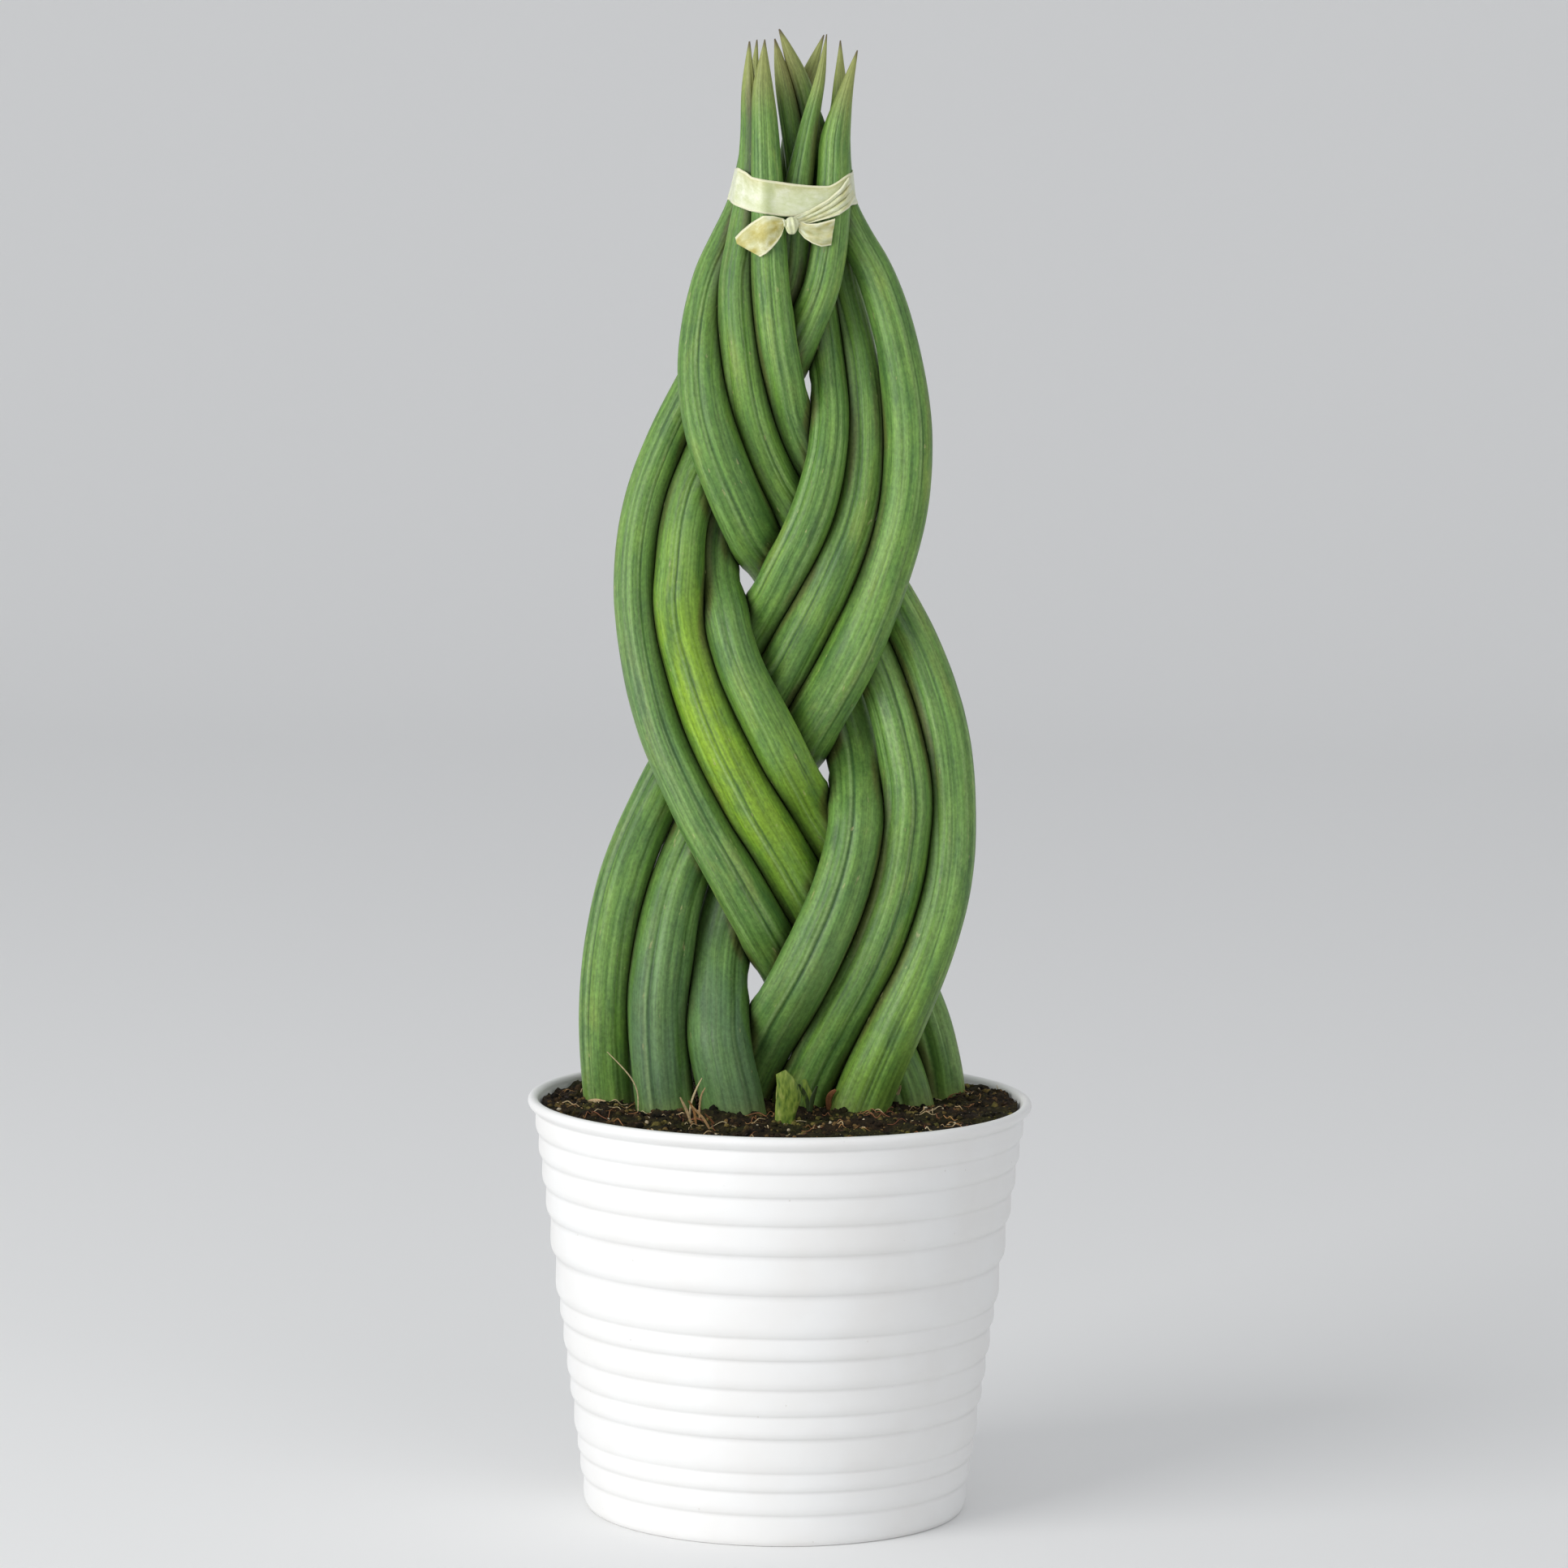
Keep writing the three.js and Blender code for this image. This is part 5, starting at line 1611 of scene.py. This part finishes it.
def band_middle():
    """The middle surface of the ribbon's flat turn, in rows from its lower to its upper edge."""
    heights = np.linspace(BAND_HIGHEST, BAND_LOWEST, BAND_LEVELS)
    loops = np.array([band_loop(height, BAND_COLUMNS, BAND_ROOM) for height in heights])
    middle = np.empty((BAND_ROWS, BAND_COLUMNS, 3))
    for column in range(BAND_COLUMNS):
        x, y = loops[1, column]
        front = smoothstep(*SLIDE_DEPTHS, y)
        ends = []
        for back, edge in ((BAND_TOP, BAND_TOP_EDGE), (BAND_FOOT, BAND_LOW_EDGE)):
            ends.append(back + (np.interp(x, *zip(*edge)) - back) * front)
        for row in range(BAND_ROWS):
            height = ends[1] + (ends[0] - ends[1]) * row / (BAND_ROWS - 1)
            # The heights run downwards, so both are turned round for the reading
            place = [np.interp(-height, -heights, loops[:, column, part]) for part in (0, 1)]
            spot = Vector((place[0] / WRINKLE_WIDTH, place[1] / WRINKLE_WIDTH, row / 9))
            swell = WRINKLE_LIFT[0] + WRINKLE_LIFT[1] * noise.noise(spot)
            spread = 1 + swell / math.hypot(*place)
            middle[row, column] = (place[0] * spread, place[1] * spread, height)
    for _ in range(2):
        middle = (np.roll(middle, 1, axis=1) + 2 * middle + np.roll(middle, -1, axis=1)) / 4
    return middle


def build_band(material, settings):
    """The ribbon's flat turn round the leaves. Its front has slid down towards the knot."""
    middle = band_middle()
    centre = middle[BAND_ROWS // 2]
    length = float(np.linalg.norm(np.roll(centre, -1, axis=0) - centre, axis=1).sum())
    band = thick_sheet("ribbon_band", middle, settings.thickness / MM, closed=True)
    # In front the upper edge is ochre and the leaf behind is painted in as a darker green show-through,
    # which fade out over the last 12 mm of the depth, and the right half is painted a little greener too
    front = np.clip(-middle[:, :, 1] / 12, 0, 1)
    upper = np.linspace(0, 1, BAND_ROWS)[:, None] ** 5
    ochre = 0.75 * upper * front
    strength, place, reach = LEAF_SHOW_THROUGH
    across = middle[:, :, 0]
    moss = strength * np.exp(-(((across - place) / reach) ** 2)) * front
    moss += 0.25 * smooth_steps(across, -6, 4)
    dress_sheet(band, middle, settings.width / MM, length, material, ochre, moss)
    return band


def band_front(loop, x):
    """How far forward the band stands at one place across, as a depth just before it."""
    front = loop[loop[:, 1] < 0]
    return float(np.interp(x, front[:, 0], front[:, 1])) - LOOSE_ROOM


def folds_depth(front, along, across):
    """The gathered turn: three and a half pleats, which lie flatter towards the knot.

    This and the next two give a depth in millimetres, from the band's depth behind the place and from
    how far along and across the piece it is, both from 0 to 1. Nearer the viewer is a smaller depth.
    """
    waver = 0.25 * math.sin(5 * along)
    pleat = abs(math.sin(math.pi * (3.5 * across + waver))) ** 0.8
    height = 0.4 + 1.1 * math.sin(math.pi * min(along + 0.25, 1.0)) ** 0.5
    lift = 0.6 + height * pleat
    over_the_knot = 1.2 * smoothstep(0.7, 1.0, along)
    return front - lift - over_the_knot


def left_depth(front, along, across):
    """The left tail: one soft fold along it, and an end that turns outwards above and inwards below."""
    room = 1.7
    fold = 1.6 * math.sin(math.pi * min(across * 1.15, 1.0)) * math.sin(math.pi * min(along + 0.2, 1.0))
    return front - room - fold - 1.6 * along + 1.8 * along * across


def right_depth(front, along, across):
    """The right tail: flutes that open out towards its end, on a soft bow."""
    room = 1.8
    flute = 1.3 * along * math.sin(TURN * (1.6 * across + 0.15)) + 1.0 * math.sin(math.pi * along)
    return front - room - flute


def ribbon_patch(upper, lower, depth, loop):
    """The middle surface between two edges seen in the view, as deep as the depth function says."""
    middle = np.empty((LOOSE_ROWS, LOOSE_COLUMNS, 3))
    places = np.linspace(0, 1, LOOSE_COLUMNS)
    edges = []
    for edge in (upper, lower):
        steps = np.linspace(0, 1, len(edge))
        edges.append([np.interp(places, steps, [point[part] for point in edge]) for part in (0, 1)])
    for row in range(LOOSE_ROWS):
        share = row / (LOOSE_ROWS - 1)
        for column, along in enumerate(places):
            across, down = (
                edges[0][part][column] * (1 - share) + edges[1][part][column] * share for part in (0, 1)
            )
            front = band_front(loop, seen_at(across, down, LOOSE_DEPTH).x)
            middle[row, column] = seen_at(across, down, depth(front, along, share))
    return middle


def build_knot(material, front):
    """The knot: two lumps, pinched by the turns that are drawn tight round them."""
    points = []
    faces = []
    for across, down, wide, tall, deep in KNOT_LUMPS:
        heart = seen_at(across, down, front - KNOT_FORWARD)
        foot = len(points)
        points.append((heart.x, heart.y, heart.z - tall))
        for row in range(1, KNOT_ROWS):
            pitch = math.pi * (row / KNOT_ROWS - 0.5)
            for column in range(KNOT_COLUMNS):
                angle = TURN * column / KNOT_COLUMNS
                # Six slanting creases and a slower twist
                pinch = 1 + 0.15 * math.cos(6 * angle + 2 * pitch) + 0.12 * math.sin(3 * pitch + 2 * angle)
                ring = math.cos(pitch) ** 0.8 * pinch
                x = wide * ring * math.cos(angle)
                y = deep * ring * math.sin(angle)
                points.append((heart.x + x, heart.y + y, heart.z + tall * math.sin(pitch)))
        top = len(points)
        points.append((heart.x, heart.y, heart.z + tall))
        for face in grid_faces(KNOT_ROWS - 1, KNOT_COLUMNS, True):
            faces.append(tuple(foot + 1 + i for i in face))
        last = top - KNOT_COLUMNS
        for i in range(KNOT_COLUMNS):
            after = (i + 1) % KNOT_COLUMNS
            faces.append((foot, foot + 1 + after, foot + 1 + i))
            faces.append((top, last + i, last + after))
    knot = new_piece("ribbon_knot", points, faces)
    # The weave runs across and up, well away from the woven edges
    places = np.array(points)
    weave = np.stack([places[:, 0], np.full(len(places), 4.0), places[:, 2]], axis=1) * MM
    store(knot, "weave", weave, "FLOAT_VECTOR")
    store(knot, "ochre", np.full(len(places), 0.15))
    store(knot, "moss", np.full(len(places), 0.10))
    return finish_piece(knot, material, ["ribbon_tie"])


def build_loose_ribbon(material, settings):
    """The gathered turn over the band, the two tails and the knot that holds them."""
    loop = band_loop(KNOT_HEIGHT, BAND_COLUMNS, BAND_ROOM)
    # Each has its edges, how deep it lies, its flat length in millimetres and how ochre it is
    for name, upper, lower, depth, length, tone in (
        ("ribbon_folds", FOLDS_UPPER, FOLDS_LOWER, folds_depth, 25.0, 0.22),
        ("ribbon_tail_left", LEFT_TAIL_UPPER, LEFT_TAIL_LOWER, left_depth, 20.0, 0.80),
        ("ribbon_tail_right", RIGHT_TAIL_UPPER, RIGHT_TAIL_LOWER, right_depth, 12.0, 0.45),
    ):
        middle = ribbon_patch(upper, lower, depth, loop)
        # Edges that run to the right are turned round, so that the faces point outwards
        facing = middle[:, ::-1] if upper[0][0] < upper[-1][0] else middle
        piece = thick_sheet(name, facing, settings.thickness / MM)
        waves = [
            [noise.noise(Vector((row / 9, column / 14, tone * 9))) for column in range(LOOSE_COLUMNS)]
            for row in range(LOOSE_ROWS)
        ]
        ochre = np.clip(tone + 0.6 * np.array(waves), 0, 1)
        dress_sheet(piece, middle, settings.width / MM, length, material, ochre, np.zeros_like(ochre))

    knot = build_knot(material, band_front(loop, 0))


# The stage


def build_stage(settings):
    """A plain pale floor that sweeps up behind, soft studio lights and the camera."""
    scene = bpy.context.scene
    profile = [(STAGE_FRONT, 0), (STAGE_BACK, 0)]
    for i in range(1, STAGE_STEPS + 1):
        angle = math.pi / 2 * i / STAGE_STEPS
        rise = STAGE_BEND - STAGE_BEND * math.cos(angle)
        profile.append((STAGE_BACK + STAGE_BEND * math.sin(angle), rise))
    profile.append((STAGE_BACK + STAGE_BEND, STAGE_TOP))
    points = [(x, y, z) for y, z in profile for x in (-STAGE_HALF_WIDTH, STAGE_HALF_WIDTH)]
    faces = [(2 * i, 2 * i + 1, 2 * i + 3, 2 * i + 2) for i in range(len(profile) - 1)]
    floor = new_piece("stage_floor", points, faces)
    # Seamless background paper: uncoated, so it is very pale and quite matt
    material, shader = new_material("background_paper")
    shader.inputs["Base Color"].default_value = linear("#F2F2F1")
    shader.inputs["Roughness"].default_value = 0.9
    floor.data.materials.append(material)
    floor.data.shade_smooth()

    world = bpy.data.worlds.new("studio")
    world.use_nodes = True
    background = world.node_tree.nodes["Background"]
    background.inputs["Color"].default_value = linear("#F4F6FA")
    background.inputs["Strength"].default_value = settings.sky
    scene.world = world
    scene.view_settings.view_transform = "Standard"

    for name, (place, size) in LIGHTS.items():
        light = bpy.data.lights.new(name, "AREA")
        light.energy = getattr(settings, name + "_power")
        light.size = size
        lamp = bpy.data.objects.new(name, light)
        lamp.location = place
        aim = Vector(LIGHT_AIM) - Vector(place)
        lamp.rotation_euler = aim.to_track_quat("-Z", "Y").to_euler()
        scene.collection.objects.link(lamp)

    camera = bpy.data.cameras.new("camera")
    camera.lens = LENS
    camera.sensor_width = SENSOR
    ahead, right, up = view_axes()
    turned = Matrix((right, up, -ahead)).transposed().to_4x4()
    viewer = bpy.data.objects.new("camera", camera)
    viewer.matrix_world = Matrix.Translation(CAMERA_PLACE) @ turned
    scene.collection.objects.link(viewer)
    scene.camera = viewer


# The add-on


class SNAKEPLANT_OT_pot(Operator):
    """Builds the glazed pot"""

    bl_idname = "snakeplant.pot"
    bl_label = "Pot"

    def execute(self, context):
        build_pot(context.scene.snakeplant_pot)
        return {"FINISHED"}


class SNAKEPLANT_OT_soil(Operator):
    """Builds the soil and what lies loose on it"""

    bl_idname = "snakeplant.soil"
    bl_label = "Soil"

    def execute(self, context):
        settings = context.scene.snakeplant_soil
        soil = build_soil(settings)
        strew_litter(soil, settings)
        lay_roots(settings)
        return {"FINISHED"}


class SNAKEPLANT_OT_leaves(Operator):
    """Builds the nine leaves"""

    bl_idname = "snakeplant.leaves"
    bl_label = "Leaves"

    def execute(self, context):
        settings = context.scene.snakeplant_leaf
        material = material_leaf()
        tree = leaf_tree(material)
        leaves = [build_leaf(node, index, tree, settings) for index, node in enumerate(LEAVES)]
        press_leaves(leaves, settings)
        for leaf, node in zip(leaves, LEAVES):
            finish_piece(leaf, material, [node])
        return {"FINISHED"}


class SNAKEPLANT_OT_ribbon(Operator):
    """Builds the ribbon's band, folds, tails and knot"""

    bl_idname = "snakeplant.ribbon"
    bl_label = "Ribbon"

    def execute(self, context):
        settings = context.scene.snakeplant_ribbon
        material = material_ribbon(settings)
        build_band(material, settings)
        build_loose_ribbon(material, settings)
        return {"FINISHED"}


class SNAKEPLANT_OT_shoot(Operator):
    """Builds the young shoot"""

    bl_idname = "snakeplant.shoot"
    bl_label = "Shoot"

    def execute(self, context):
        build_shoot(context.scene.snakeplant_soil)
        return {"FINISHED"}


class SNAKEPLANT_OT_stage(Operator):
    """Builds the floor, the lights and the camera"""

    bl_idname = "snakeplant.stage"
    bl_label = "Stage"

    def execute(self, context):
        build_stage(context.scene.snakeplant_stage)
        return {"FINISHED"}


OPERATORS = (
    SNAKEPLANT_OT_stage,
    SNAKEPLANT_OT_pot,
    SNAKEPLANT_OT_soil,
    SNAKEPLANT_OT_leaves,
    SNAKEPLANT_OT_ribbon,
    SNAKEPLANT_OT_shoot,
)


class SNAKEPLANT_PT_panel(Panel):
    """Lists the pieces in the sidebar"""

    bl_label = "Snake plant"
    bl_space_type = "VIEW_3D"
    bl_region_type = "UI"
    bl_category = "Snake plant"

    def draw(self, context):
        for operator in OPERATORS:
            self.layout.operator(operator.bl_idname)


SETTINGS = {
    "snakeplant_pot": PotSettings,
    "snakeplant_soil": SoilSettings,
    "snakeplant_leaf": LeafSettings,
    "snakeplant_ribbon": RibbonSettings,
    "snakeplant_stage": StageSettings,
}


def register():
    """Adds the settings, the operators and the panel."""
    for name, group in SETTINGS.items():
        bpy.utils.register_class(group)
        setattr(bpy.types.Scene, name, PointerProperty(type=group))
    for item in (*OPERATORS, SNAKEPLANT_PT_panel):
        bpy.utils.register_class(item)


def unregister():
    """Takes them away again."""
    for item in reversed((*OPERATORS, SNAKEPLANT_PT_panel)):
        bpy.utils.unregister_class(item)
    for name, group in SETTINGS.items():
        delattr(bpy.types.Scene, name)
        bpy.utils.unregister_class(group)


def main():
    """Builds everything in order."""
    register()
    for operator in OPERATORS:
        family, name = operator.bl_idname.split(".")
        getattr(getattr(bpy.ops, family), name)()


if __name__ == "__main__":
    main()
